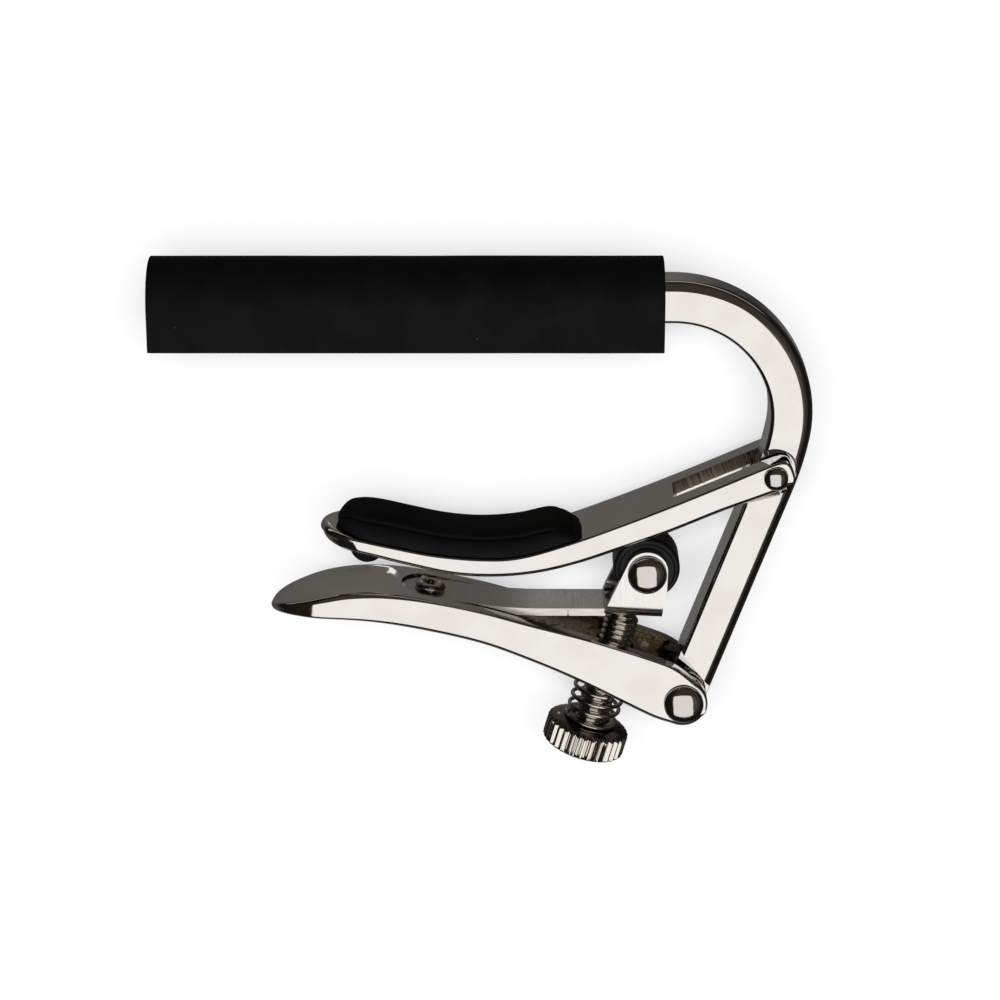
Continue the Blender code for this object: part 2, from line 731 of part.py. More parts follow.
# ----------------------------------------------------------------------------- adjusting screw
KNOB_R = 4.65
KNURL_TEETH = 34
KNURL_CREST, KNURL_ROOT = 0.08, -0.22  # from the ring's radius
WIRE_R = 0.25
COIL_R = 2.93
COIL_LOW, COIL_HIGH = WASHER_TOP + GAP + WIRE_R, 2.45
COIL_TURNS, COIL_START, COIL_STEPS = 2.75, 20, 66

# (radius, height) of the screw: rounded tip and plain shank
SCREW_PROFILE = [
    (0, 12.6), (0.95, 12.45), (1.5, 12.0), (1.8, 11.6), (SCREW_R, 11.1), (SCREW_R, -4.4),
    (0, -4.4),
]
# height, radius and share of the full knurl, up the knob
KNOB_RINGS = [
    (-5.36, KNOB_R - 0.45, 0.0),
    (-5.06, KNOB_R - 0.08, 1.0),
    (-3.1, KNOB_R - 0.08, 1.0),
    (-2.66, KNOB_R - 0.55, 0.15),
    (-2.1, 3.45, 0.0),
    (-1.92, 3.2, 0.0),
]
# (radius, height) around the washer's section
WASHER_PROFILE = [
    (2.3, WASHER_TOP), (3.15, WASHER_TOP), (3.3, -1.5), (3.3, -1.65), (3.15, -1.8),
    (2.3, -1.8),
]


def build_adjusting_screw():
    return finish(turned("adjusting_screw", SCREW_PROFILE, 24, SCREW_PLACE), SCREW_METAL)


def build_adjusting_knob():
    """Straight knurl: alternating crest and root around the rim, faded out at both ends."""
    sections = []
    for height, ring_radius, share in KNOB_RINGS:
        section = []
        for i in range(2 * KNURL_TEETH):
            angle = math.pi * i / KNURL_TEETH
            radius = ring_radius + (KNURL_CREST if i % 2 == 0 else KNURL_ROOT) * share
            section.append((radius * math.cos(angle), radius * math.sin(angle), height))
        sections.append(section)
    knob = loft("adjusting_knob", sections)
    knob.matrix_world = SCREW_PLACE
    drill(knob, "knob_bore", SCREW_R + FIT, 2, -4.7, 24, SCREW_PLACE)
    return finish(knob, NICKEL)


def build_thrust_washer():
    washer = turned("thrust_washer", WASHER_PROFILE, 28, SCREW_PLACE, closed=True)
    return finish(washer, NICKEL)


def build_screw_spring():
    """Compression spring: a round wire wound at an even pitch on the screw's axis."""
    coil = bpy.data.curves.new("screw_spring", "CURVE")
    coil.dimensions = "3D"
    coil.bevel_depth = WIRE_R * MM
    coil.bevel_resolution = 2
    coil.use_fill_caps = True
    spline = coil.splines.new("POLY")
    spline.points.add(COIL_STEPS)
    for i, point in enumerate(spline.points):
        t = i / COIL_STEPS
        angle = 2 * math.pi * COIL_TURNS * t + math.radians(COIL_START)
        x, y = COIL_R * math.cos(angle), COIL_R * math.sin(angle)
        z = COIL_LOW + (COIL_HIGH - COIL_LOW) * t
        point.co = (x * MM, y * MM, z * MM, 1)
    spring = add_object("screw_spring", coil, PARTS)
    spring.matrix_world = SCREW_PLACE
    coil.materials.append(SCREW_METAL)
    return spring


# ----------------------------------------------------------------------------- the whole capo
build_frame_bar()
build_string_sleeve()
build_pin_and_cap(
    "arm_pivot_pin", "arm_pivot_cap", ARM_PIVOT,
    face=ARM_HALF, head_r=1.38, head_h=0.85, pin_r=PIN_R_ARM,
)
build_pin_and_cap(
    "lever_pivot_pin", "lever_pivot_cap", LEVER_PIVOT,
    face=LEVER_HALF, head_r=2.32, head_h=1.2, pin_r=PIN_R_LEVER,
)
axle_and_cap = build_pin_and_cap(
    "roller_axle", "axle_cap", ROLLER_AXLE,
    face=CLEVIS_HALF, head_r=2.28, head_h=1.2, pin_r=PIN_R_AXLE,
)

# what moves with what
arm_axis = axis_empty("arm_axis", ARM_PIVOT)
lever_axis = axis_empty("lever_axis", LEVER_PIVOT)
flex_axis = axis_empty("flex_axis", FLEX_AT)
roller_axis = axis_empty("roller_axis", ROLLER_AXLE)
screw_axis = axis_empty("screw_axis", SCREW_FOOT)
carry(arm_axis, build_pressure_arm(), build_neck_pad())
carry(
    lever_axis,
    build_lever(),
    build_bracket_rivet(),
    build_screw_spring(),
    flex_axis,
    screw_axis,
)
carry(flex_axis, build_roller_bracket(), *axle_and_cap, roller_axis)
carry(roller_axis, build_roller())
carry(screw_axis, build_thrust_washer(), build_adjusting_screw(), build_adjusting_knob())
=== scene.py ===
"""Guitar capo with an over-centre lever.

Lengths are millimetres: origin at the centre of the string sleeve's underside, +X towards the
bend, +Y across the width, +Z away from the strings. A bar runs along X inside the sleeve, bends
down at +X, and carries the pressure arm and, below it, the lever; both reach back towards -X.
Pairs written (x, z) lie in the side view. The main camera looks from -Y and a little above.
"""

import json
from math import atan2, copysign, cos, degrees, dist, pi, radians, sin, sqrt

import bmesh
import bpy
from mathutils import Matrix, Vector, noise

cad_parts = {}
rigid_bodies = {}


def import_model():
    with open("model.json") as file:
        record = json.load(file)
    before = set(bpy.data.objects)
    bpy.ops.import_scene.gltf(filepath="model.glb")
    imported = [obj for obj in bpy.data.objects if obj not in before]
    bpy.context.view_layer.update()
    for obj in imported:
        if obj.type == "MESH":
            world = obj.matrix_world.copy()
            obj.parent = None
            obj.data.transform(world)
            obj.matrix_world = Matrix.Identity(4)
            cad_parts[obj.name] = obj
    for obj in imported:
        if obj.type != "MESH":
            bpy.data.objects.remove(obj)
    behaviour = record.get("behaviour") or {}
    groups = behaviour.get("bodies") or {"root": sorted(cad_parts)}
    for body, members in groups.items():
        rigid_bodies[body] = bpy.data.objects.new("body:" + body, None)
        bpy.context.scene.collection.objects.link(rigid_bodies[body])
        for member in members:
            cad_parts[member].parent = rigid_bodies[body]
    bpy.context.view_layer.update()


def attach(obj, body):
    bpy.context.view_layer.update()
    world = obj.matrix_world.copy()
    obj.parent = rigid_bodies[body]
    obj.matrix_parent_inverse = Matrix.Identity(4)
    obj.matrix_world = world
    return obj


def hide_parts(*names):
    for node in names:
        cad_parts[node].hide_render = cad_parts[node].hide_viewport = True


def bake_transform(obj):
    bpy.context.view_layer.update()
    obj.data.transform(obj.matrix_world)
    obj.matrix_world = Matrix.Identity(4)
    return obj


for old in list(bpy.data.objects):
    bpy.data.objects.remove(old, do_unlink=True)

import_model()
MM = 0.001
SCENE = bpy.context.scene
WORK = bpy.data.collections.new("work")
SCENE.collection.children.link(WORK)

# ------------------------------------------------------------------ driving dimensions
# "HALF" is half a width across Y, "R" a radius.
SLEEVE_LENGTH = 58.3
SLEEVE_WIDTH = 10.7
SLEEVE_HEIGHT = 9.65
SLEEVE_SIDE = 4.6  # height of the straight sides under the rounded top

BAR_THICK = 4.9
BAR_WIDTH = 5.6
BAR_OUTER_ROUND = 1.5
BAR_INNER_ROUND = 0.6
BAR_AXIS_Z = 5.13
BAR_START_X = -28.3
BEND_START_X = 30.2
BEND_R1 = 13.8  # main bend, turning through BEND_A1 degrees
BEND_A1 = 100.5
BEND_R2 = 36.0  # slacker bend down to the leg
LEG_ANGLE = 20.0  # degrees off upright
NECK_HALF = 2.0

ARM_PIVOT = (42.18, -15.10)
LEVER_PIVOT = (32.18, -43.36)
ROLLER_AXLE = (27.70, -27.42)

ARM_DIRECTION = (-0.9285, -0.3714)  # from the arm pivot along the arm
ARM_HALF = 5.0
ARM_SLOT_HALF = 2.32
ARM_SLOT_END = 11.9  # from the pivot

LEVER_HALF = 5.0
CHANNEL_HALF = 3.3
LEVER_EAR = 2.9  # radius of the rounded end
FORK_HALF = 2.4  # gap between the bosses

LEAF_HALF = 3.0
LEAF_THICK = 0.9
CLEVIS_HALF = 3.9
RIVET_AT = (2.4, -30.62)
RIVET_LEAN = 9.0  # degrees, top towards +X

ROLLER_R = 3.88
ROLLER_HALF = 2.65

SCREW_FOOT = (21.86, -45.74)
SCREW_LEAN = 15.7  # degrees, top towards +X
SCREW_R = 2.0
SCREW_PITCH = 0.7
KNOB_R = 4.95

PIN_R_ARM = 0.85
PIN_R_LEVER = 1.1
PIN_R_AXLE = 1.1
FIT = 0.3  # hole radius over pin radius
GAP = 0.12  # clearance under heads and along the bar


# ------------------------------------------------------------------ shader helpers
class Nodes:
    """A short way to write chains of shader nodes."""

    def __init__(self, tree):
        self.tree = tree

    def new(self, kind, **settings):
        node = self.tree.nodes.new(kind)
        for key, value in settings.items():
            setattr(node, key, value)
        return node

    def link(self, value, socket):
        """Feed a socket from a number, an RGB colour or another node's output."""
        if isinstance(value, (int, float)):
            socket.default_value = value
        elif isinstance(value, tuple):
            socket.default_value = (*value, 1.0)
        else:
            self.tree.links.new(value, socket)

    def math(self, operation, *values):
        node = self.new("ShaderNodeMath", operation=operation)
        for i, value in enumerate(values):
            self.link(value, node.inputs[i])
        return node.outputs[0]

    def add(self, first, second):
        return self.math("ADD", first, second)

    def minus(self, first, second):
        return self.math("SUBTRACT", first, second)

    def times(self, first, second):
        return self.math("MULTIPLY", first, second)

    def ramp(self, value, over, to=(0.0, 1.0), smooth=True):
        """The value's range "over" carried to the range "to", held at both ends."""
        node = self.new("ShaderNodeMapRange", clamp=True)
        node.interpolation_type = "SMOOTHSTEP" if smooth else "LINEAR"
        for i, item in enumerate((value, *over, *to)):
            self.link(item, node.inputs[i])
        return node.outputs[0]

    def window(self, value, low, high, soft, unit=1.0):
        """1 between low and high, with edges soft wide to either side."""
        rise = self.ramp(value, ((low - soft) * unit, (low + soft) * unit))
        fall = self.ramp(value, ((high - soft) * unit, (high + soft) * unit), (1.0, 0.0))
        return self.times(rise, fall)

    def mix(self, factor, at_0, at_1):
        node = self.new("ShaderNodeMix", data_type="RGBA")
        self.link(factor, node.inputs[0])
        self.link(at_0, node.inputs[6])
        self.link(at_1, node.inputs[7])
        return node.outputs[2]

    def dot(self, vector, direction):
        node = self.new("ShaderNodeVectorMath", operation="DOT_PRODUCT")
        self.link(vector, node.inputs[0])
        node.inputs[1].default_value = direction
        return node.outputs["Value"]

    def noise(self, vector, scale, detail=2.0, rough=0.5):
        node = self.new("ShaderNodeTexNoise")
        self.link(vector, node.inputs["Vector"])
        self.link(scale, node.inputs["Scale"])
        self.link(detail, node.inputs["Detail"])
        self.link(rough, node.inputs["Roughness"])
        return node.outputs["Fac"]

    def stretch(self, vector, scale):
        node = self.new("ShaderNodeMapping")
        self.link(vector, node.inputs["Vector"])
        node.inputs["Scale"].default_value = scale
        return node.outputs["Vector"]

    def bump(self, height, distance, strength=1.0, normal=None):
        node = self.new("ShaderNodeBump")
        self.link(height, node.inputs["Height"])
        node.inputs["Distance"].default_value = distance
        self.link(strength, node.inputs["Strength"])
        if normal is not None:
            self.link(normal, node.inputs["Normal"])
        return node.outputs["Normal"]

    def to_camera(self):
        return self.new(
            "ShaderNodeVectorTransform",
            vector_type="VECTOR",
            convert_from="WORLD",
            convert_to="CAMERA",
        )

    def surface(self, colour, roughness, normal, metallic=1.0):
        """Feed the Principled shader, which is returned."""
        shader = self.tree.nodes["Principled BSDF"]
        self.link(colour, shader.inputs["Base Color"])
        self.link(metallic, shader.inputs["Metallic"])
        self.link(roughness, shader.inputs["Roughness"])
        self.link(normal, shader.inputs["Normal"])
        return shader


def new_material(name):
    """A material, its node writer and the object-space position."""
    mat = bpy.data.materials.new(name)
    mat.use_nodes = True
    tree = Nodes(mat.node_tree)
    return mat, tree, tree.new("ShaderNodeTexCoord").outputs["Object"]


def scaled(colour, factors):
    return tuple(channel * factor for channel, factor in zip(colour, factors))


# ------------------------------------------------------------------ materials
PLATE_TINT = (0.785, 0.768, 0.745)
SCREW_AXIS = (0.2706, 0.0, 0.9627)


def nickel(name, tint=PLATE_TINT, rough=(0.045, 0.10), wave=1.6e-6, corner_shade_extra=0.0, shade_above=None):
    """Polished nickel plate: a faint swell under the polish, hairline marks, painted shade in
    corners.

    wave is the swell's height, corner_shade_extra adds to the painted shade in corners; above the
    height shade_above (metres along the screw's axis) the plate is painted darker brown, as shade.
    """
    mat, tree, at = new_material(name)
    cloud = tree.noise(at, scale=260.0, detail=3.0)
    fine = tree.noise(at, scale=5200.0)
    dull = scaled(tint, (0.955, 0.945, 0.93))
    tone = tree.mix(tree.ramp(cloud, over=(0.3, 0.75)), tint, dull)
    # painted shade: the plate darkens to brown in corners and creases found by a short AO, and is
    # rougher there
    corner = tree.new("ShaderNodeAmbientOcclusion", samples=4, only_local=True)
    corner.inputs["Distance"].default_value = 0.0012
    shaded_corners = tree.ramp(corner.outputs["AO"], over=(0.15, 0.75), to=(0.55 + corner_shade_extra, 0.0))
    tone = tree.mix(shaded_corners, tone, (0.20, 0.165, 0.125))
    # painted shade: above shade_above the plate is darkened brown, standing in for the shade and
    # dark reflection of the lever over the knob
    if shade_above is not None:
        height = tree.dot(at, SCREW_AXIS)
        upper = tree.ramp(height, over=(shade_above, shade_above + 0.00025))
        tone = tree.mix(upper, tone, (0.24, 0.205, 0.175))
    hair = tree.noise(tree.stretch(at, (900.0, 900.0, 14000.0)), scale=1.0, rough=0.6)
    gloss = tree.add(
        tree.ramp(fine, over=(0.35, 0.8), to=rough),
        tree.ramp(hair, over=(0.55, 0.8), to=(0.0, 0.03)),
    )
    gloss = tree.add(gloss, tree.times(shaded_corners, 0.12))
    swell = tree.bump(tree.noise(at, scale=620.0, detail=1.5), distance=wave)
    tree.surface(tone, gloss, tree.bump(hair, distance=1.2e-7, normal=swell))
    return mat


def brushed(name, tint, rough, along, lines=1.0):
    """Plated sheet with brush lines along one axis; lines is their strength."""
    mat, tree, at = new_material(name)
    scale = {"X": (500.0, 16000.0, 9000.0), "Z": (16000.0, 16000.0, 420.0)}[along]
    strands = tree.noise(tree.stretch(at, scale), scale=1.0, detail=3.0, rough=0.65)
    cloud = tree.noise(at, scale=300.0)
    line_tint = scaled(tint, (1 - 0.2 * lines,) * 3)
    tone = tree.mix(tree.ramp(strands, over=(0.32, 0.72)), tint, line_tint)
    patches = tree.ramp(cloud, over=(0.4, 0.8), to=(0.0, 0.35))
    tone = tree.mix(patches, tone, scaled(tint, (0.86, 0.84, 0.80)))
    gloss = tree.ramp(strands, over=(0.3, 0.8), to=(rough - 0.06, rough + 0.07))
    tree.surface(tone, gloss, tree.bump(strands, distance=3.0e-6 * lines))
    return mat


def rough_cast(name):
    """Inside of a plated casting: brownish plate, and patches of gritty brass skin."""
    mat, tree, at = new_material(name)
    patch = tree.ramp(tree.noise(at, scale=420.0, detail=4.0, rough=0.62), over=(0.50, 0.58))
    grit = tree.noise(at, scale=5200.0, detail=4.0, rough=0.7)
    brass = tree.mix(
        tree.ramp(grit, over=(0.35, 0.7)), (0.20, 0.115, 0.05), (0.95, 0.74, 0.47)
    )
    plate = tree.mix(
        tree.ramp(grit, over=(0.3, 0.7)), (0.40, 0.37, 0.335), (0.20, 0.18, 0.155)
    )
    relief = tree.ramp(patch, over=(0.0, 1.0), to=(0.15, 0.6))
    tree.surface(
        tree.mix(patch, plate, brass),
        roughness=tree.ramp(patch, over=(0.0, 1.0), to=(0.16, 0.5)),
        normal=tree.bump(grit, distance=5.0e-5, strength=relief),
        metallic=tree.ramp(patch, over=(0.0, 1.0), to=(1.0, 0.35)),
    )
    return mat


def broached(name, direction):
    """Slot walls ribbed across the given direction; brown above, clean plate below."""
    mat, tree, at = new_material(name)
    line = tree.new("ShaderNodeCombineXYZ")
    tree.link(tree.times(tree.dot(at, direction), 1.0), line.inputs[0])
    ribs = tree.noise(line.outputs[0], scale=2600.0, detail=3.0, rough=0.7)
    wide = tree.noise(line.outputs[0], scale=700.0, detail=1.0)
    spots = tree.noise(at, scale=1500.0)
    tone = tree.mix(
        tree.ramp(ribs, over=(0.35, 0.68)), (0.07, 0.055, 0.043), (0.36, 0.30, 0.25)
    )
    spotted = tree.ramp(spots, over=(0.5, 0.7), to=(0.0, 0.6))
    tone = tree.mix(spotted, tone, (0.24, 0.19, 0.15))
    shaded = tree.ramp(wide, over=(0.55, 0.75), to=(0.0, 0.5))
    tone = tree.mix(shaded, tone, (0.07, 0.06, 0.05))
    # the lower edge of the brown is ragged, following the ribs
    across_slot = tree.dot(at, (-0.4042, 0.0, 0.9147))
    ragged = tree.add(across_slot, tree.times(tree.minus(ribs, 0.5), 0.0005))
    clean = tree.ramp(ragged, over=(-0.03071, -0.03065), to=(1.0, 0.0))
    relief = tree.ramp(clean, over=(0.0, 1.0), to=(0.6, 0.0))
    tree.surface(
        tree.mix(clean, tone, PLATE_TINT),
        roughness=tree.ramp(clean, over=(0.0, 1.0), to=(0.33, 0.08)),
        normal=tree.bump(ribs, distance=3.0e-5, strength=relief),
    )
    return mat


def rubber(name, tone, rough, dust=1.0, sheen=0.06):
    """Matte moulded rubber: fine pebble, a few grey dust specks."""
    mat, tree, at = new_material(name)
    pebble = tree.noise(at, scale=7500.0, detail=3.0, rough=0.6)
    cloud = tree.noise(at, scale=220.0, detail=3.0)
    base = tree.mix(tree.ramp(cloud, over=(0.3, 0.75)), tone, scaled(tone, (1.5,) * 3))
    # one cell in ten or so carries a speck at its centre
    cells = tree.new("ShaderNodeTexVoronoi", feature="F1")
    tree.link(at, cells.inputs["Vector"])
    cells.inputs["Scale"].default_value = 620.0
    pick = tree.new("ShaderNodeSeparateColor")
    tree.link(cells.outputs["Color"], pick.inputs[0])
    speck = tree.times(
        tree.ramp(cells.outputs["Distance"], over=(0.035, 0.075), to=(1.0, 0.0)),
        tree.ramp(pick.outputs[0], over=(0.90, 0.93), to=(0.0, 0.9 * dust)),
    )
    shader = tree.surface(
        tree.mix(speck, base, (0.16, 0.16, 0.16)),
        roughness=tree.ramp(pebble, over=(0.3, 0.7), to=(rough - 0.06, rough + 0.06)),
        normal=tree.bump(pebble, distance=8.0e-6, strength=0.5),
        metallic=0.0,
    )
    shader.inputs["Specular IOR Level"].default_value = sheen
    return mat


NICKEL = nickel("nickel_polished")
DOME_NICKEL = nickel("nickel_head", tint=(0.64, 0.62, 0.595), rough=(0.05, 0.13), wave=1.2e-6)
LEAF_STEEL = brushed("steel_leaf", tint=(0.72, 0.70, 0.675), rough=0.22, along="X")
EAR_STEEL = brushed("steel_clevis", tint=(0.83, 0.815, 0.79), rough=0.17, along="Z", lines=0.35)
CAST = rough_cast("cast_skin")
BROACHED = broached("broached_slot", (ARM_DIRECTION[0], 0.0, ARM_DIRECTION[1]))
# the screw's plate, with weaker painted shade in its corners
THREAD = nickel(
    "screw_plate", tint=(0.70, 0.66, 0.61), rough=(0.08, 0.15), wave=1.4e-6, corner_shade_extra=-0.2
)
WIRE_STEEL = nickel("spring_wire", tint=(0.62, 0.60, 0.57), rough=(0.10, 0.18), wave=1.0e-6)
# the knob's plate: weaker painted shade in corners, and its top painted darker as shade and the
# lever's reflection
KNOB_METAL = nickel(
    "knob_plate", tint=(0.80, 0.765, 0.72), rough=(0.08, 0.15), corner_shade_extra=-0.45, shade_above=-0.0408
)
SLEEVE_RUBBER = rubber("rubber_sleeve", tone=(0.0135, 0.0135, 0.0138), rough=0.62)
PAD_RUBBER = rubber("rubber_pad", tone=(0.0150, 0.0150, 0.0155), rough=0.60, dust=0.4)
NYLON = rubber("nylon_roller", tone=(0.012, 0.012, 0.0125), rough=0.36, dust=0.0, sheen=0.25)


# ------------------------------------------------------------------ outline helpers
def smooth(points, per=10):
    """Catmull-Rom curve through the points, with per steps to a span."""
    pts = [Vector(p) for p in points]
    pts = [2 * pts[0] - pts[1]] + pts + [2 * pts[-1] - pts[-2]]
    out = []
    for i in range(1, len(pts) - 2):
        p0, p1, p2, p3 = pts[i - 1 : i + 3]
        for k in range(per):
            t = k / per
            out.append(
                0.5
                * (
                    2 * p1
                    + (p2 - p0) * t
                    + (2 * p0 - 5 * p1 + 4 * p2 - p3) * t * t
                    + (3 * p1 - p0 - 3 * p2 + p3) * t ** 3
                )
            )
    out.append(pts[-2])
    return [tuple(p) for p in out]


def arc(centre, radius, start, stop, count):
    """count + 1 points on a circle; angles in degrees."""
    out = []
    for i in range(count + 1):
        angle = radians(start + (stop - start) * i / count)
        out.append((centre[0] + radius * cos(angle), centre[1] + radius * sin(angle)))
    return out


def between(points, x):
    """Height of a polyline at x."""
    for (x0, z0), (x1, z1) in zip(points, points[1:]):
        if x0 <= x <= x1:
            return z0 + (z1 - z0) * (x - x0) / (x1 - x0)
    return points[0][1] if x < points[0][0] else points[-1][1]


def evenly(line, start_x, count):
    """count + 1 points at equal steps along the part of a line beyond start_x."""
    points = [(start_x, between(line, start_x))] + [p for p in line if p[0] > start_x + 0.05]
    lengths = [0.0]
    for a, b in zip(points, points[1:]):
        lengths.append(lengths[-1] + dist(a, b))
    out = []
    k = 0
    for i in range(count + 1):
        want = lengths[-1] * i / count
        while k < len(points) - 2 and lengths[k + 1] < want:
            k += 1
        t = (want - lengths[k]) / (lengths[k + 1] - lengths[k])
        out.append(tuple(a + (b - a) * t for a, b in zip(points[k], points[k + 1])))
    return out


def normals_of(points):
    """Unit left-hand normals of an open polyline running left to right (they point up)."""
    out = []
    for i in range(len(points)):
        before = Vector(points[max(i - 1, 0)])
        after = Vector(points[min(i + 1, len(points) - 1)])
        run = (after - before).normalized()
        out.append(Vector((-run[1], run[0])))
    return out


def rounded(points, radius, steps=4, closed=True):
    """The profile with its corners rounded; each radius is clamped to the corner's sides."""
    out = []
    count = len(points)
    for i, p in enumerate(points):
        if not closed and i in (0, count - 1):
            out.append(p)
            continue
        corner = Vector(p)
        back = Vector(points[i - 1]) - corner
        ahead = Vector(points[(i + 1) % count]) - corner
        reach = min(radius, back.length * 0.45, ahead.length * 0.45)
        start = corner + back.normalized() * reach
        end = corner + ahead.normalized() * reach
        for k in range(steps + 1):
            t = k / steps
            out.append(tuple((1 - t) ** 2 * start + 2 * t * (1 - t) * corner + t * t * end))
    return out


def cylinder(radius, top, bottom):
    """Turning profile of a plain cylinder."""
    return [(0, top), (radius, top), (radius, bottom), (0, bottom)]


def ease(x, low, high):
    t = min(max((x - low) / (high - low), 0.0), 1.0)
    return t * t * (3 - 2 * t)


# ------------------------------------------------------------------ solid helpers
def metres(x, y, z):
    return (x * MM, y * MM, z * MM)


def leaning(at, lean):
    """Frame at (x, z) on the middle plane, its axis leaning lean degrees from +Z to +X."""
    return Matrix.Translation(metres(at[0], 0, at[1])) @ Matrix.Rotation(radians(lean), 4, "Y")


def facing(at, y, side):
    """Frame at (x, z) and y, its axis pointing along Y to the given side."""
    return Matrix.Translation(metres(at[0], y, at[1])) @ Matrix.Rotation(-side * pi / 2, 4, "X")


RIVET_PLACE = leaning(RIVET_AT, RIVET_LEAN)
SCREW_PLACE = leaning(SCREW_FOOT, SCREW_LEAN)


def mesh_object(name, shell, place=None, index=0, slots=2):
    """Object from a bmesh. index is the material slot its faces carry through a Boolean."""
    if place is not None:
        shell.transform(place)
    for face in shell.faces:
        face.material_index = index
    bmesh.ops.recalc_face_normals(shell, faces=shell.faces[:])
    if shell.calc_volume(signed=True) < 0:
        bmesh.ops.reverse_faces(shell, faces=shell.faces[:])
    mesh = bpy.data.meshes.new(name)
    shell.to_mesh(mesh)
    shell.free()
    for _ in range(slots):
        mesh.materials.append(NICKEL)
    obj = bpy.data.objects.new(name, mesh)
    WORK.objects.link(obj)
    return obj


def loft(sections, capped=True):
    """A bmesh skinned over closed sections, each a list of points in metres."""
    shell = bmesh.new()
    rings = [[shell.verts.new(point) for point in section] for section in sections]
    for a, b in zip(rings, rings[1:]):
        for i in range(len(a)):
            j = (i + 1) % len(a)
            shell.faces.new((a[i], a[j], b[j], b[i]))
    if capped:
        shell.faces.new(rings[0][::-1])
        shell.faces.new(rings[-1])
    return shell


def sweep(name, path, section):
    """A section of (outward, y) points carried along a path of ((x, z), normal)."""
    rings = [
        [metres(x + nx * out, y, z + nz * out) for out, y in section] for (x, z), (nx, nz) in path
    ]
    return mesh_object(name, loft(rings))


def outline_solid(name, outline, low, high, plane="XZ", index=0):
    """A flat outline extruded between low and high on the third axis."""
    curve = bpy.data.curves.new(name, "CURVE")
    curve.dimensions = "2D"
    curve.fill_mode = "BOTH"
    curve.extrude = (high - low) / 2 * MM
    spline = curve.splines.new("POLY")
    spline.points.add(len(outline) - 1)
    for point, (u, v) in zip(spline.points, outline):
        point.co = (u * MM, v * MM, 0, 1)
    spline.use_cyclic_u = True
    flat = bpy.data.objects.new(name + "_flat", curve)
    SCENE.collection.objects.link(flat)
    bpy.context.view_layer.update()
    graph = bpy.context.evaluated_depsgraph_get()
    mesh = bpy.data.meshes.new_from_object(flat.evaluated_get(graph))
    bpy.data.objects.remove(flat, do_unlink=True)
    shell = bmesh.new()
    shell.from_mesh(mesh)
    bpy.data.meshes.remove(mesh)
    bmesh.ops.remove_doubles(shell, verts=shell.verts[:], dist=1e-6)
    middle = (low + high) / 2 * MM
    turn = {
        "XZ": Matrix.Rotation(pi / 2, 4, "X"),
        "XY": Matrix.Identity(4),
        "YZ": Matrix(((0, 0, 1, 0), (1, 0, 0, 0), (0, 1, 0, 0), (0, 0, 0, 1))),
    }[plane]
    shift = {"XZ": (0, middle, 0), "XY": (0, 0, middle), "YZ": (middle, 0, 0)}[plane]
    return mesh_object(name, shell, Matrix.Translation(shift) @ turn, index)


def rod(name, at, radius, low, high, sides=64, index=0):
    """A cylinder along Y through (x, z)."""
    shell = bmesh.new()
    bmesh.ops.create_cone(
        shell,
        cap_ends=True,
        segments=sides,
        radius1=radius * MM,
        radius2=radius * MM,
        depth=(high - low) * MM,
        matrix=Matrix.Translation((at[0] * MM, (low + high) / 2 * MM, at[1] * MM))
        @ Matrix.Rotation(pi / 2, 4, "X"),
    )
    return mesh_object(name, shell, index=index)


def turned(name, profile, steps, place, closed=False, index=0):
    """A turned shape from (radius, height) pairs, top of the axis first, down the outer side."""
    shell = bmesh.new()
    rings = []
    for radius, height in profile:
        if radius <= 1e-9:
            rings.append([shell.verts.new((0, 0, height * MM))])
            continue
        angles = [2 * pi * i / steps for i in range(steps)]
        rings.append(
            [shell.verts.new(metres(radius * cos(a), radius * sin(a), height)) for a in angles]
        )
    if closed:
        rings.append(rings[0])
    for a, b in zip(rings, rings[1:]):
        for i in range(steps):
            j = (i + 1) % steps
            if len(a) == 1:
                shell.faces.new((a[0], b[i], b[j]))
            elif len(b) == 1:
                shell.faces.new((a[j], a[i], b[0]))
            else:
                shell.faces.new((a[i], b[i], b[j], a[j]))
    return mesh_object(name, shell, place, index)


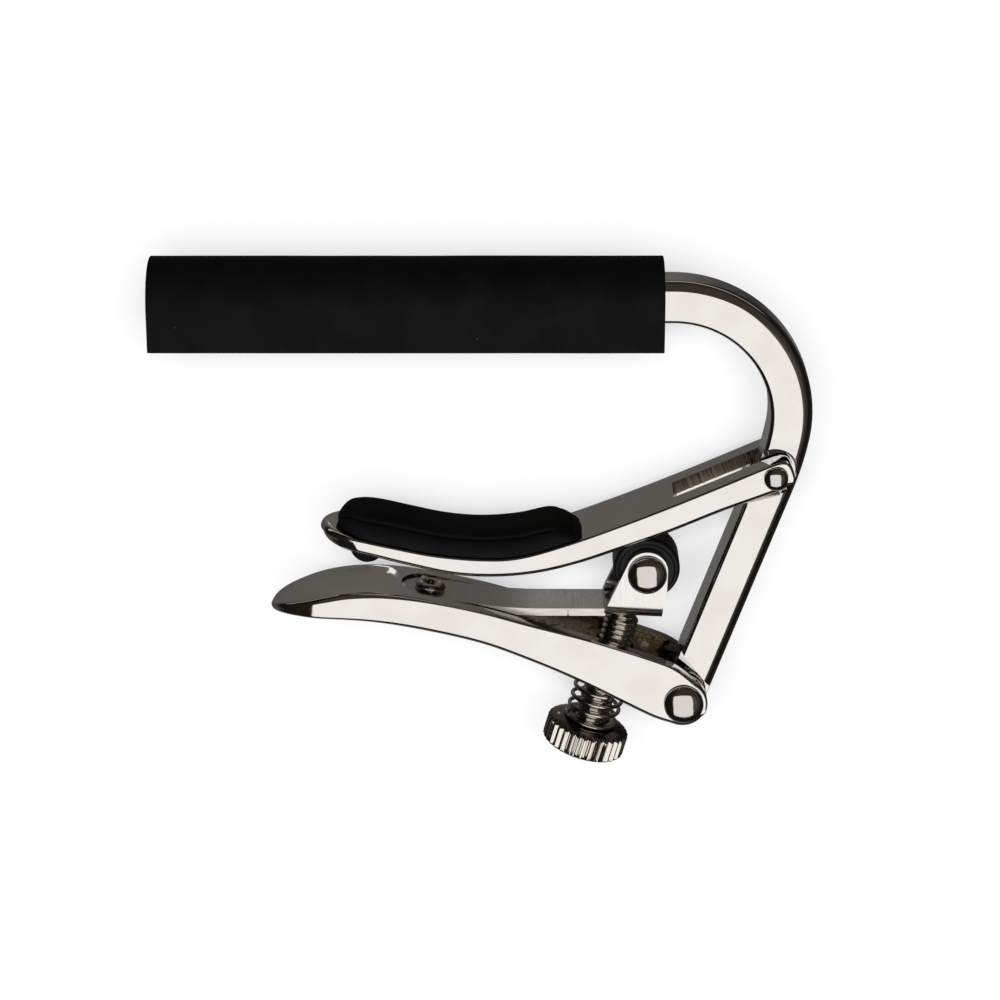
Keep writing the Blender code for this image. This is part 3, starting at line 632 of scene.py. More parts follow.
def slab(name, top, bottom, half, top_round, bottom_round, tip, crown=None):
    """A flat-sided body between matched top and bottom outlines (left to right, same count).

    Its four long edges are rounded by top_round and bottom_round (functions of x), measured
    square to the outline. tip is (x at the tip, x where the end arc starts, top line, bottom
    line): the left end is a half ellipse in plan, with the same rounded edges carried round it.
    crown(x, across) lifts the top surface, across running from -1 to 1.
    """
    tip_x, arc_x, top_line, bottom_line = tip
    tip_steps = 34
    edge_steps = 7
    face_steps = 14
    quarter = pi / 2
    top_out = normals_of(top)
    bottom_out = [-normal for normal in normals_of(bottom)]

    def ring_at(index, turn):
        """Section at a station of the outlines, or at an angle round the tip if index is None."""
        if index is None:
            x = arc_x - (arc_x - tip_x) * cos(turn)
            thick = between(top_line, x) - between(bottom_line, x)
        else:
            x = top[index][0]
            thick = (Vector(top[index]) - Vector(bottom[index])).length

        def at(upper, phi, across, lift=0.0):
            radius = min((top_round if upper else bottom_round)(x), 0.46 * thick)
            inset = radius * (1 - cos(phi))
            depth = radius * (1 - sin(phi))
            if index is None:
                line = top_line if upper else bottom_line
                px = arc_x - (arc_x - tip_x - inset) * cos(turn)
                back_x = max(px - 0.1, line[0][0])
                slope = (between(line, px + 0.1) - between(line, back_x)) / (px + 0.1 - back_x)
                out = Vector((-slope, 1.0)).normalized() * (1 if upper else -1)
                point = Vector((px, between(line, px)))
            else:
                out = (top_out if upper else bottom_out)[index]
                point = Vector((top if upper else bottom)[index])
            point = point - out * (depth - lift)
            return metres(point[0], across * (half - inset) * sin(turn), point[1])

        rising = [quarter * j / edge_steps for j in range(edge_steps + 1)]
        falling = [quarter * (1 - j / edge_steps) for j in range(edge_steps + 1)]
        ring = [at(False, phi, -1) for phi in rising]
        ring += [at(False, quarter, -1 + 2 * j / face_steps) for j in range(1, face_steps)]
        ring += [at(False, phi, 1) for phi in falling]
        ring += [at(True, phi, 1) for phi in rising]
        for j in range(1, face_steps):
            across = 1 - 2 * j / face_steps
            ring.append(at(True, quarter, across, crown(x, across) if crown else 0.0))
        return ring + [at(True, phi, -1) for phi in falling]

    rings = [ring_at(None, quarter * i / tip_steps) for i in range(tip_steps)]
    rings += [ring_at(i, quarter) for i in range(len(top))]
    shell = loft(rings, capped=False)
    # both ends close to a line: the tip in plan, the far end where the outlines meet
    bmesh.ops.remove_doubles(shell, verts=shell.verts[:], dist=2e-7)
    bmesh.ops.dissolve_degenerate(shell, edges=shell.edges[:], dist=1e-7)
    return mesh_object(name, shell)


def settle(obj):
    """Apply the object's modifiers."""
    bpy.context.view_layer.update()
    graph = bpy.context.evaluated_depsgraph_get()
    mesh = bpy.data.meshes.new_from_object(obj.evaluated_get(graph))
    obj.modifiers.clear()
    obj.data = mesh


def boolean(obj, other, operation="DIFFERENCE"):
    """Boolean with another solid, applied at once; the other solid is thrown away."""
    mod = obj.modifiers.new("cut", "BOOLEAN")
    mod.operation = operation
    mod.object = other
    mod.solver = "EXACT"
    settle(obj)
    bpy.data.objects.remove(other, do_unlink=True)


def finish(
    obj, name, body, node, skin, cut_skin=None, sharp=32.0, edge=0.0, segments=2, weighted=True
):
    """Edges eased, normals settled, both material slots filled and the ride on its body.

    edge is the bevel's width; edges over sharp degrees stay sharp.
    """
    obj.name = name
    obj.data.name = name
    if edge > 0:
        mod = obj.modifiers.new("ease", "BEVEL")
        mod.width = edge * MM
        mod.segments = segments
        mod.limit_method = "ANGLE"
        mod.angle_limit = radians(38)
        mod.use_clamp_overlap = True
        mod.harden_normals = False
        mod.miter_outer = "MITER_ARC"
        settle(obj)
    obj.data.materials[0] = skin
    obj.data.materials[1] = cut_skin or skin
    obj.data.shade_smooth()
    obj.data.set_sharp_from_angle(angle=radians(sharp))
    if weighted:
        mod = obj.modifiers.new("normals", "WEIGHTED_NORMAL")
        mod.mode = "FACE_AREA"
        mod.keep_sharp = True
        mod.weight = 50
    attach(obj, body)
    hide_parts(node)


# ------------------------------------------------------------------ the bent bar
def bar_path():
    """Straight run, two bends and the leg, as ((x, z), outward normal)."""
    length = BEND_START_X - BAR_START_X
    path = [((BAR_START_X + length * i / 6, BAR_AXIS_Z), (0.0, 1.0)) for i in range(7)]
    leg_normal_angle = 90 + LEG_ANGLE
    bends = ((BEND_R1, 0.0, BEND_A1, 64), (BEND_R2, BEND_A1, leg_normal_angle, 12))
    for radius, start, stop, steps in bends:
        (x, z), normal = path[-1]
        centre = (x - radius * normal[0], z - radius * normal[1])
        for i in range(1, steps + 1):
            angle = radians(start + (stop - start) * i / steps)
            normal = (sin(angle), cos(angle))
            path.append(
                ((centre[0] + radius * normal[0], centre[1] + radius * normal[1]), normal)
            )
    (x, z), normal = path[-1]
    down = (-sin(radians(LEG_ANGLE)), -cos(radians(LEG_ANGLE)))
    reach = (z - LEVER_PIVOT[1]) / -down[1]
    for i in range(1, 9):
        path.append(((x + down[0] * reach * i / 8, z + down[1] * reach * i / 8), normal))
    return path


def bar_section(grow=0.0):
    """Closed (outward, y) section; grow offsets it for the sleeve's bore."""
    half_thick = BAR_THICK / 2 + grow
    half_width = BAR_WIDTH / 2 + grow
    out = []
    # outward side, y side, first angle, corner radius, steps
    for up, side, start, corner, steps in (
        (1, 1, 0, BAR_OUTER_ROUND, 10),
        (1, -1, 90, BAR_OUTER_ROUND, 10),
        (-1, -1, 180, BAR_INNER_ROUND, 6),
        (-1, 1, 270, BAR_INNER_ROUND, 6),
    ):
        radius = corner + grow
        centre = (side * (half_width - radius), up * (half_thick - radius))
        out += [(z, y) for y, z in arc(centre, radius, start, start + 90, steps)]
    return out


def arm_neck_outline():
    """Relief round the arm pivot, opening along the arm."""
    run = Vector(ARM_DIRECTION)
    heading = degrees(atan2(run[1], run[0]))
    far = (ARM_PIVOT[0] + run[0] * 7, ARM_PIVOT[1] + run[1] * 7)
    outline = arc(ARM_PIVOT, 2.42, heading - 95, heading - 265, 48)
    for side in (1, -1):
        angle = radians(heading + side * 82)
        corner = (ARM_PIVOT[0] + 2.95 * cos(angle), ARM_PIVOT[1] + 2.95 * sin(angle))
        end = (
            far[0] - side * 2.12 * sin(radians(heading)),
            far[1] + side * 2.12 * cos(radians(heading)),
        )
        outline += [corner, end] if side > 0 else [end, corner]
    return outline


def foot_neck_outline():
    """Everything on the lever pivot's side of a slanting step across the leg."""
    step_at = Vector((32.95, -39.15))
    along = Vector((0.60, -0.80)).normalized()
    out = Vector((-along[1], along[0]))
    return [
        tuple(step_at + along * -9),
        tuple(step_at + along * 9),
        tuple(step_at + along * 9 - out * 14),
        tuple(step_at + along * -9 - out * 14),
    ]


def bent_bar():
    bar = sweep("bar", bar_path(), bar_section())
    boolean(bar, rod("bar_foot", LEVER_PIVOT, 2.4, -NECK_HALF, NECK_HALF), "UNION")
    # a flaring recess blends the arm's neck into the bar
    cone = [(0, 3.0), (3.0, 3.0), (2.86, 2.92 - NECK_HALF), (2.44, 0.0), (0, 0.0)]
    for side in (-1, 1):
        for outline in (arm_neck_outline(), foot_neck_outline()):
            boolean(bar, outline_solid("neck", outline, *sorted((side * NECK_HALF, side * 4.0))))
        boolean(bar, turned("neck_cone", cone, 96, facing(ARM_PIVOT, side * NECK_HALF, side)))
    boolean(bar, rod("bar_hole_arm", ARM_PIVOT, PIN_R_ARM + FIT, -6, 6, 40))
    boolean(bar, rod("bar_hole_lever", LEVER_PIVOT, PIN_R_LEVER + FIT, -6, 6, 48))
    finish(bar, "bent_bar", "frame", "frame_bar", NICKEL, edge=0.07)


bent_bar()


# ------------------------------------------------------------------ string sleeve
def sleeve_section(count=40):
    """(y, z) points: flat underside, straight sides, rounded top."""
    half = SLEEVE_WIDTH / 2
    # lower corner: inset from the side, height
    corner = [(0.35, 0.0), (0.17, 0.05), (0.05, 0.17), (0.0, 0.35)]
    out = [(-half + 0.35, 0.0)] + [(half - inset, z) for inset, z in corner]
    for i in range(count + 1):
        c = cos(pi * i / count)
        s = sin(pi * i / count)
        y = half * copysign(abs(c) ** 0.92, c)
        out.append((y, SLEEVE_SIDE + (SLEEVE_HEIGHT - SLEEVE_SIDE) * abs(s) ** 0.92))
    return out + [(-half + inset, z) for inset, z in corner[:0:-1]]


def string_sleeve():
    half = SLEEVE_LENGTH / 2
    section = sleeve_section()
    # x, inset of the section at the eased ends
    stations = [(-half, 0.10), (-half + 0.03, 0.04), (-half + 0.10, 0.0)]
    stations += [(-half + 0.1 + (SLEEVE_LENGTH - 0.2) * i / 60, 0.0) for i in range(1, 60)]
    stations += [(half - 0.10, 0.0), (half - 0.03, 0.04), (half, 0.10)]
    centre_z = SLEEVE_HEIGHT / 2
    rings = []
    for x, inset in stations:
        ring = []
        for y, z in section:
            wobble = 0.03 * noise.noise(Vector((x * 0.12, y * 0.2, z * 0.2)))
            spoke = Vector((y, z - centre_z))
            size = (spoke.length - inset + wobble) / spoke.length
            ring.append(metres(x, spoke[0] * size, max(centre_z + spoke[1] * size, 0.0)))
        rings.append(ring)
    sleeve = mesh_object("sleeve", loft(rings))
    bore_path = [((-40.0, BAR_AXIS_Z), (0.0, 1.0)), ((40.0, BAR_AXIS_Z), (0.0, 1.0))]
    boolean(sleeve, sweep("sleeve_bore", bore_path, bar_section(GAP)))
    finish(
        sleeve, "sleeve_rubber", "frame", "string_sleeve", SLEEVE_RUBBER,
        sharp=40, edge=0.05,
    )


string_sleeve()

# ------------------------------------------------------------------ pressure arm
# (x, z) from the tip at -X to the rounded end past the pivot
ARM_TOP_LINE = smooth(
    [
        (-10.15, -21.85), (-6.5, -22.55), (-2.6, -23.45), (2.98, -24.6), (8.57, -25.12),
        (13.0, -24.85), (18.5, -23.2), (24.6, -20.88), (30.4, -18.48), (36.2, -15.95),
        (40.2, -14.15), (41.7, -13.52), (42.6, -13.22), (43.25, -13.2), (43.75, -13.5),
        (44.1, -14.1), (44.32, -14.75), (44.38, -15.3),
    ],
    12,
)
ARM_BOTTOM_LINE = smooth(
    [
        (-10.15, -23.7), (-5.41, -24.65), (-0.5, -25.95), (5.0, -27.2), (9.97, -27.5),
        (14.8, -27.05), (19.5, -25.88), (24.45, -24.12), (30.2, -21.95), (36.0, -19.45),
        (40.4, -17.75), (42.3, -17.0), (43.2, -16.6), (43.85, -16.15), (44.22, -15.75),
        (44.38, -15.3),
    ],
    12,
)
PLUG_PLACE = leaning((-4.6, -24.0), 14)  # the pad's plug through the arm


def pressure_arm():
    tip_x = -10.15
    arc_x = -5.1
    arm = slab(
        "arm",
        evenly(ARM_TOP_LINE, arc_x, 190),
        evenly(ARM_BOTTOM_LINE, arc_x, 190),
        ARM_HALF,
        lambda x: 0.32 + 0.45 * (1 - ease(x, -9.6, -5.2)),
        lambda x: 0.88,
        (tip_x, arc_x, ARM_TOP_LINE, ARM_BOTTOM_LINE),
    )
    run = Vector(ARM_DIRECTION)
    side = Vector((-run[1], run[0]))
    slot_end = Vector(ARM_PIVOT) + run * ARM_SLOT_END
    slot = [
        tuple(slot_end + side * 6),
        tuple(slot_end - run * 20 + side * 6),
        tuple(slot_end - run * 20 - side * 6),
        tuple(slot_end - side * 6),
    ]
    boolean(arm, outline_solid("arm_slot", slot, -ARM_SLOT_HALF, ARM_SLOT_HALF, index=1))
    boolean(arm, rod("arm_hole", ARM_PIVOT, PIN_R_ARM + FIT, -8, 8, 40))
    boolean(arm, turned("plug_hole", cylinder(1.9, 4, -4), 48, PLUG_PLACE))
    finish(
        arm, "arm_body", "arm", "pressure_arm", NICKEL, BROACHED, edge=0.06
    )


pressure_arm()

# ------------------------------------------------------------------ neck pad
PAD_GAP = 0.14
PAD_LOW = -8.25  # x of both ends
PAD_HIGH = 19.9
# (x, z) along the middle of the pad's top
PAD_CROWN = smooth(
    [
        (-8.4, -20.9), (-6.6, -20.1), (-3.5, -20.35), (0, -21.15), (4.3, -22.1),
        (8.5, -22.45), (12.8, -22.1), (15.9, -21.4), (18.0, -21.3), (19.9, -22.1),
    ],
    10,
)


def quarter_round(distance, reach):
    """Rises from 0 at distance 0 to 1 at reach, as a quarter circle does."""
    t = max(min(distance / reach, 1.0), 0.0)
    return sqrt(1 - (1 - t) ** 2)


def pad_section(x):
    """(y, z): a shoulder up from the arm's edge, a fine parting groove, and a low crown."""
    right = quarter_round(PAD_HIGH - x, 0.8)
    start = quarter_round(x - PAD_LOW, 1.7)
    stop = quarter_round(19.0 - x, 2.9)
    half = 4.8 * quarter_round(x - PAD_LOW, 4.3) * (0.82 + 0.18 * right) + 0.05
    base = between(ARM_TOP_LINE, x) + PAD_GAP
    full = max(between(PAD_CROWN, x) - base, 0.6)
    wall = full * 0.70 * (0.45 + 0.55 * start) * (0.8 + 0.2 * right)
    wall *= 0.55 + 0.45 * stop
    narrow = 0.4 + 0.6 * stop
    rise = max(full * (0.45 + 0.55 * start) * narrow, wall * 1.03)
    ledge = min(1.15, half * 0.27)
    side = [(half - 0.12, base), (half - 0.04, base + 0.03), (half, base + 0.12)]
    for i in range(1, 9):
        angle = pi / 2 * i / 8
        z = base + 0.12 + (wall - 0.12) * sin(angle) ** 0.92
        side.append((half - ledge * (1 - cos(angle)) * 0.86, z))
    inner = half - ledge
    side += [
        (inner + 0.07, base + wall - 0.02),
        (inner - 0.01, base + wall - 0.09),
        (inner - 0.08, base + wall - 0.02),
        (inner - 0.11, base + wall + 0.08 * (rise - wall)),
    ]
    top = []
    for i in range(1, 36):
        angle = pi * i / 36
        y = (inner - 0.11) * narrow * copysign(abs(cos(angle)) ** 0.85, cos(angle))
        z = base + wall + (rise - wall) * (0.08 + 0.92 * abs(sin(angle)) ** 0.62)
        top.append((y, z))
    # the +Y half draws in towards the right end
    pull = 0.1 + 0.9 * quarter_round(PAD_HIGH - x, 4.2)
    ring = side + top + [(-y, z) for y, z in side[::-1]]
    return [(y * pull if y > 0 else y, z) for y, z in ring]


def neck_pad():
    rings = []
    for i in range(141):
        t = i / 140
        x = PAD_LOW + 0.01 + (PAD_HIGH - PAD_LOW - 0.02) * (0.5 - 0.5 * cos(pi * t))
        rings.append([metres(x, y, z) for y, z in pad_section(x)])
    pad = mesh_object("pad", loft(rings))
    bulb = [(1.6, -1.25), (2.05, -1.45), (2.05, -1.75), (1.5, -2.7), (0.7, -3.2), (0, -3.3)]
    profile = [(0, 1.9), (1.6, 1.9)] + rounded(bulb, 0.3, closed=False)
    boolean(pad, turned("pad_plug", profile, 48, PLUG_PLACE), "UNION")
    finish(pad, "pad_rubber", "arm", "neck_pad", PAD_RUBBER, sharp=50)


neck_pad()

# ------------------------------------------------------------------ lever
# (x, z) from the thumb end at -X towards the pivot
LEVER_TOP_LINE = smooth(
    [
        (-16.3, -32.55), (-15.7, -31.95), (-14.6, -31.45), (-12.4, -30.75), (-9.5, -30.0),
        (-6.6, -29.55), (-3.0, -29.55), (1.6, -30.2), (8.56, -31.78), (14.1, -33.38),
        (21.2, -35.36), (28.4, -37.8), (31.3, -39.1), (33.6, -41.0),
    ],
    12,
)
LEVER_BOTTOM_LINE = smooth(
    [
        (-16.3, -32.65), (-15.6, -32.78), (-12.3, -32.62), (-5.2, -33.0), (1.5, -34.15),
        (8.5, -35.9), (14.6, -38.3), (19.9, -40.75), (24.9, -43.4), (28.54, -45.3),
        (31.2, -46.25),
    ],
    12,
)
# (x, z) along the channel's floor
CHANNEL_FLOOR = [
    (1.9, -31.62), (3.4, -32.0), (6.5, -32.85), (8.8, -33.7), (14.0, -35.3),
    (20.0, -36.7), (25.2, -37.5), (28.4, -38.9),
]


def thumb_dish(x, across):
    """A shallow thumb rest in the spoon, fading before the leaf's seat."""
    deep = ease(x, -14.0, -6.5) * (1 - ease(x, -5.5, -0.6))
    return -0.5 * deep * (1 - across * across) ** 1.2


def lever_casting():
    tip_x = -16.3
    arc_x = -9.4
    end_centre = (32.1, -43.5)
    lever = slab(
        "lever_body",
        evenly(LEVER_TOP_LINE, arc_x, 130) + arc(end_centre, LEVER_EAR, 58, -18, 26),
        evenly(LEVER_BOTTOM_LINE, arc_x, 130) + arc(end_centre, LEVER_EAR, -105, -18, 26),
        LEVER_HALF,
        lambda x: 0.28 + 0.5 * (1 - ease(x, -7.0, 7.0)),
        lambda x: 0.5 + 0.28 * ease(x, -9.0, 2.0),
        (tip_x, arc_x, LEVER_TOP_LINE, LEVER_BOTTOM_LINE),
        thumb_dish,
    )
    web_end = arc(LEVER_PIVOT, 2.95, 128, 205, 20)[1:]
    outside = [(27.0, -50.0), (45.0, -50.0), (45.0, -25.0), (1.9, -25.0)]
    channel = CHANNEL_FLOOR + web_end + outside
    boolean(lever, outline_solid("lever_channel", channel, -CHANNEL_HALF, CHANNEL_HALF, index=1))
    seat_place = leaning((2.1, -31.65), RIVET_LEAN)
    boolean(lever, turned("seat_cut", cylinder(CHANNEL_HALF, 8, 0), 96, seat_place))
    boolean(lever, turned("rivet_hole", cylinder(1.1, 1.5, -2.6), 40, RIVET_PLACE))
    for side in (-1, 1):
        reach = sorted((side * FORK_HALF, side * (CHANNEL_HALF + 0.4)))
        boss = rod("boss", (32.1, -43.45), LEVER_EAR - 0.15, *reach, sides=72, index=1)
        boolean(lever, boss, "UNION")
    boolean(lever, rod("lever_hole", LEVER_PIVOT, PIN_R_LEVER + FIT, -8, 8, 48))
    screw_hole = cylinder(SCREW_R + FIT, 14, 0)
    boolean(lever, turned("screw_hole", screw_hole, 64, SCREW_PLACE, index=1))
    finish(lever, "lever_casting", "lever", "lever", NICKEL, CAST, edge=0.06)


lever_casting()

# ------------------------------------------------------------------ spring leaf and its clevis
# (x, z) along the leaf's top
LEAF_LINE = smooth(
    [
        (-0.85, -30.1), (2.4, -30.62), (5.0, -31.05), (8.0, -31.5), (11.0, -31.85),
        (14.0, -32.02), (18.0, -32.06), (23.2, -32.08), (26.4, -32.2), (30.4, -32.42),
    ],
    8,
)


def clevis_section():
    """(y, z) of a U with rounded corners, open upwards."""
    half = CLEVIS_HALF
    thick = LEAF_THICK
    floor = -33.3
    top = -20.0
    outer = 2.3  # corner radii
    inner = 1.5
    inner_y = half - thick - inner
    inner_z = floor + thick + inner
    return (
        [(half, top)]
        + arc((half - outer, floor + outer), outer, 0, -90, 12)
        + arc((-half + outer, floor + outer), outer, -90, -180, 12)
        + [(-half, top), (-half + thick, top)]
        + arc((-inner_y, inner_z), inner, 180, 270, 6)
        + arc((inner_y, inner_z), inner, 270, 360, 6)
        + [(half - thick, top)]
    )


def clevis_solid():
    """The U sheared to follow the leaf and trimmed to rounded ears."""
    clevis = outline_solid("clevis", clevis_section(), 20, 34, plane="YZ", index=1)
    shear = Matrix.Identity(4)
    shear[2][0] = -0.055
    shear_x = 26.4 * MM
    clevis.data.transform(
        Matrix.Translation((shear_x, 0, 0)) @ shear @ Matrix.Translation((-shear_x, 0, 0))
    )
    ears = [(22.75, -34.5), (22.75, -32.2), (23.2, -31.2)]
    ears += arc((27.68, -27.1), 2.42, 160, 0, 40)
    ears += [(30.02, -29.8), (29.6, -32.0), (29.45, -34.5)]
    boolean(clevis, outline_solid("clevis_ears", ears, -6, 6, index=1), "INTERSECT")
    return clevis


def leaf_bracket():
    under = []
    for i, (x, z) in enumerate(LEAF_LINE):
        before = Vector(LEAF_LINE[max(i - 1, 0)])
        after = Vector(LEAF_LINE[min(i + 1, len(LEAF_LINE) - 1)])
        run = (after - before).normalized()
        under.append((x + run[1] * LEAF_THICK, z - run[0] * LEAF_THICK))
    leaf = outline_solid("leaf", LEAF_LINE + under[::-1], -LEAF_HALF, LEAF_HALF)
    # half-round end in plan, about the rivet
    plan = [(22.9, -LEAF_HALF), (22.9, LEAF_HALF)]
    for i in range(41):
        angle = pi * i / 40
        plan.append((2.15 - LEAF_HALF * sin(angle), LEAF_HALF * cos(angle)))
    boolean(leaf, outline_solid("leaf_plan", plan, -60, 0, plane="XY"), "INTERSECT")
    # a small nick in the -Y edge
    nick = [(18.35, -3.3), (18.75, -3.3), (18.6, -2.86), (18.5, -2.86)]
    boolean(leaf, outline_solid("nick", nick, -40, -20, plane="XY"))
    boolean(leaf, clevis_solid(), "UNION")
    boolean(leaf, rod("axle_hole", ROLLER_AXLE, PIN_R_AXLE + 0.2, -8, 8, 48))
    boolean(leaf, turned("leaf_hole", cylinder(1.1, 3, -3), 40, RIVET_PLACE))
    finish(
        leaf, "leaf_bracket", "bracket", "roller_bracket", LEAF_STEEL, EAR_STEEL,
        edge=0.11, segments=3,
    )


def leaf_rivet():
    head = [(0.3, 0.25), (0.62, 0.62), (1.05, 0.80), (1.5, 0.70), (1.8, 0.40), (1.8, 0.22)]
    profile = [(0, 0.24)] + rounded(head, 0.2, closed=False)
    profile += [(0.8, 0.22), (0.8, -2.3), (0, -2.3)]
    rivet = turned("rivet", profile, 56, RIVET_PLACE)
    finish(rivet, "leaf_rivet", "lever", "bracket_rivet", THREAD, sharp=40)


leaf_bracket()
leaf_rivet()


# ------------------------------------------------------------------ roller, pins and caps
def roller():
    radius = ROLLER_R
    half = ROLLER_HALF
    upper = [
        (PIN_R_AXLE + FIT, half),
        (radius - 0.72, half),
        (radius - 0.55, half - 0.14),
        (radius - 0.22, half - 0.16),
        (radius, half - 0.60),
    ]
    profile = rounded(upper + [(r, -height) for r, height in upper[::-1]], 0.14, 3)
    tyre = turned("roller_body", profile, 96, facing(ROLLER_AXLE, 0, -1), closed=True)
    finish(tyre, "roller_tyre", "roller", "roller", NYLON, sharp=40)


def dome(radius, height):
    """Profile of a domed head standing GAP off its seat."""
    rim = 0.16 * height
    out = [(0.0, GAP + rim + (height - rim))]
    for i in range(1, 17):
        angle = radians(90 * i / 16)
        out.append((radius * sin(angle), GAP + rim + (height - rim) * cos(angle)))
    return out + [(radius, GAP + 0.05), (radius - 0.05, GAP)]


def headed(side, name, node, body, at, face, head_r, head_height, inner_r, inner_end):
    """A domed head on one side, with a shank or socket of radius inner_r to inner_end."""
    profile = dome(head_r, head_height) + [(inner_r, GAP), (inner_r, inner_end), (0, inner_end)]
    obj = turned(name, profile, 72, facing(at, side * face, side))
    finish(obj, name, body, node, DOME_NICKEL, sharp=45)


# (pin, its node), (cap, its node), body, (x, z), half width, head radius, head height, pin radius
PINS = (
    (("arm_pin", "arm_pivot_pin"), ("arm_cap", "arm_pivot_cap"),
     "frame", ARM_PIVOT, ARM_HALF, 1.38, 0.85, PIN_R_ARM),
    (("lever_pin", "lever_pivot_pin"), ("lever_cap", "lever_pivot_cap"),
     "frame", LEVER_PIVOT, LEVER_HALF, 2.32, 1.2, PIN_R_LEVER),
    (("axle_pin", "roller_axle"), ("axle_head", "axle_cap"),
     "bracket", ROLLER_AXLE, CLEVIS_HALF, 2.28, 1.2, PIN_R_AXLE),
)

roller()
for pin, cap, body, at, face, head_r, head_height, pin_r in PINS:
    shared = (body, at, face, head_r, head_height)
    headed(-1, *pin, *shared, pin_r, -(2 * face + 0.3))
    headed(1, *cap, *shared, pin_r + 0.15, GAP + 0.45)


# ------------------------------------------------------------------ adjusting screw, knob, spring
# Heights in this section run along the screw's axis from SCREW_FOOT.
def adjusting_screw():
    """A right-hand thread as a height field on a cylinder, with a run-out at both ends."""
    low = -4.4
    high = 12.6
    radius = SCREW_R - 0.005
    depth = 0.36
    sides = 72
    rows = int((high - low) / SCREW_PITCH * 12)
    rings = []
    for k in range(rows + 1):
        height = low + (high - low) * k / rows
        fade = min(ease(height, low, low + 0.5), 1 - ease(height, high - 0.55, high - 0.1))
        nose = max(height - (high - 1.1), 0.0)
        ring = []
        for i in range(sides):
            angle = 2 * pi * i / sides
            phase = (height / SCREW_PITCH - i / sides) % 1.0
            flank = min(abs(phase - 0.5) * 2 * 1.28, 1.0)
            r = radius - depth * (1 - flank) * fade
            r -= 0.75 * (nose / 1.1) ** 2
            ring.append(metres(r * cos(angle), r * sin(angle), height))
        rings.append(ring)
    screw = mesh_object("screw", loft(rings), SCREW_PLACE)
    finish(
        screw, "screw_thread", "screw", "adjusting_screw", THREAD,
        sharp=50, weighted=False,
    )


def knurl(phase):
    """0 at the root and 1 on the crest of one tooth, with straight flanks."""
    from_middle = abs((phase % 1.0) - 0.5) * 2
    return min(max((from_middle - 0.10) / 0.68, 0.0), 1.0)


def adjusting_knob():
    teeth = 34
    per_tooth = 10
    knurl_depth = 0.33
    # height, inset from KNOB_R, share of the knurl's depth
    rim = [
        (-5.36, 0.62, 0.0), (-5.33, 0.42, 0.15), (-5.24, 0.24, 0.45), (-5.12, 0.10, 0.8),
        (-5.0, 0.02, 1.0),
    ]
    rim += [(-5.0 + 2.3 * i / 6, 0.02, 1.0) for i in range(1, 7)]
    rim += [
        (-2.58, 0.10, 0.85), (-2.46, 0.24, 0.55), (-2.36, 0.40, 0.25), (-2.28, 0.56, 0.0),
        (-2.2, 0.78, 0.0),
    ]
    levels = [(height, KNOB_R - inset, share) for height, inset, share in rim]
    # height, radius, no knurl
    levels += [(-2.08, 3.9, 0.0), (-2.0, 3.5, 0.0), (-1.95, 3.3, 0.0), (-1.92, 3.18, 0.0)]
    rings = []
    for height, radius, share in levels:
        ring = []
        for i in range(teeth * per_tooth):
            angle = 2 * pi * i / (teeth * per_tooth)
            r = radius - knurl_depth * (1 - knurl(i / per_tooth)) * share
            ring.append(metres(r * cos(angle), r * sin(angle), height))
        rings.append(ring)
    knob = mesh_object("knob", loft(rings), SCREW_PLACE)
    boolean(knob, turned("knob_bore", cylinder(SCREW_R + 0.12, 2, -4.7), 64, SCREW_PLACE))
    dimple = [(0, -5.15), (2.2, -5.15), (2.6, -5.5), (0, -5.5)]
    boolean(knob, turned("knob_dimple", dimple, 64, SCREW_PLACE))
    finish(
        knob, "knurled_knob", "screw", "adjusting_knob", KNOB_METAL,
        sharp=30, weighted=False,
    )


WASHER_TOP = -1.35


def thrust_washer():
    profile = [
        (2.3, WASHER_TOP), (3.15, WASHER_TOP), (3.3, -1.5), (3.3, -1.65), (3.15, -1.8), (2.3, -1.8)
    ]
    washer = turned("washer", rounded(profile, 0.08, 3), 72, SCREW_PLACE, closed=True)
    finish(
        washer, "spring_washer", "screw_carriage", "thrust_washer",
        WIRE_STEEL, sharp=40,
    )


def coil_spring():
    wire_r = 0.25
    coil_r = 2.93
    low = WASHER_TOP + GAP + wire_r
    high = 2.45
    coils = 2.75
    steps = 260
    sides = 16
    rings = []
    for i in range(steps + 1):
        t = i / steps
        angle = 2 * pi * coils * t + radians(20)
        x = coil_r * cos(angle)
        y = coil_r * sin(angle)
        centre = Vector((x, y, low + (high - low) * t))
        tangent = Vector((-y, x, (high - low) / (2 * pi * coils))).normalized()
        up = tangent.cross(Vector((cos(angle), sin(angle), 0))).normalized()
        out = up.cross(tangent)
        size = wire_r * (0.55 if i in (0, steps) else 1.0)
        around = [2 * pi * k / sides for k in range(sides)]
        rings.append([(centre + (out * cos(b) + up * sin(b)) * size) * MM for b in around])
    spring = mesh_object("spring", loft(rings), SCREW_PLACE, slots=1)
    spring.name = "coil_spring"
    spring.data.name = "coil_spring"
    spring.data.materials[0] = WIRE_STEEL
    spring.data.shade_smooth()
    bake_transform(spring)
    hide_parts("screw_spring")


adjusting_screw()
adjusting_knob()
thrust_washer()
coil_spring()

# ------------------------------------------------------------------ camera
CAMERA_TILT = 69  # degrees up from straight down
CAMERA_DIP = radians(90 - CAMERA_TILT)
MAIN_VIEW = (0.0, cos(CAMERA_DIP), -sin(CAMERA_DIP))


def add_camera():
    data = bpy.data.cameras.new("camera")
    camera = bpy.data.objects.new("camera", data)
    SCENE.collection.objects.link(camera)
    camera.location = (0.010605, -0.35476, 0.11655)
    camera.rotation_euler = (radians(CAMERA_TILT), 0, 0)
    data.sensor_width = 36
    data.lens = 117.65
    data.clip_start = 0.01
    data.clip_end = 20
    SCENE.camera = camera


add_camera()

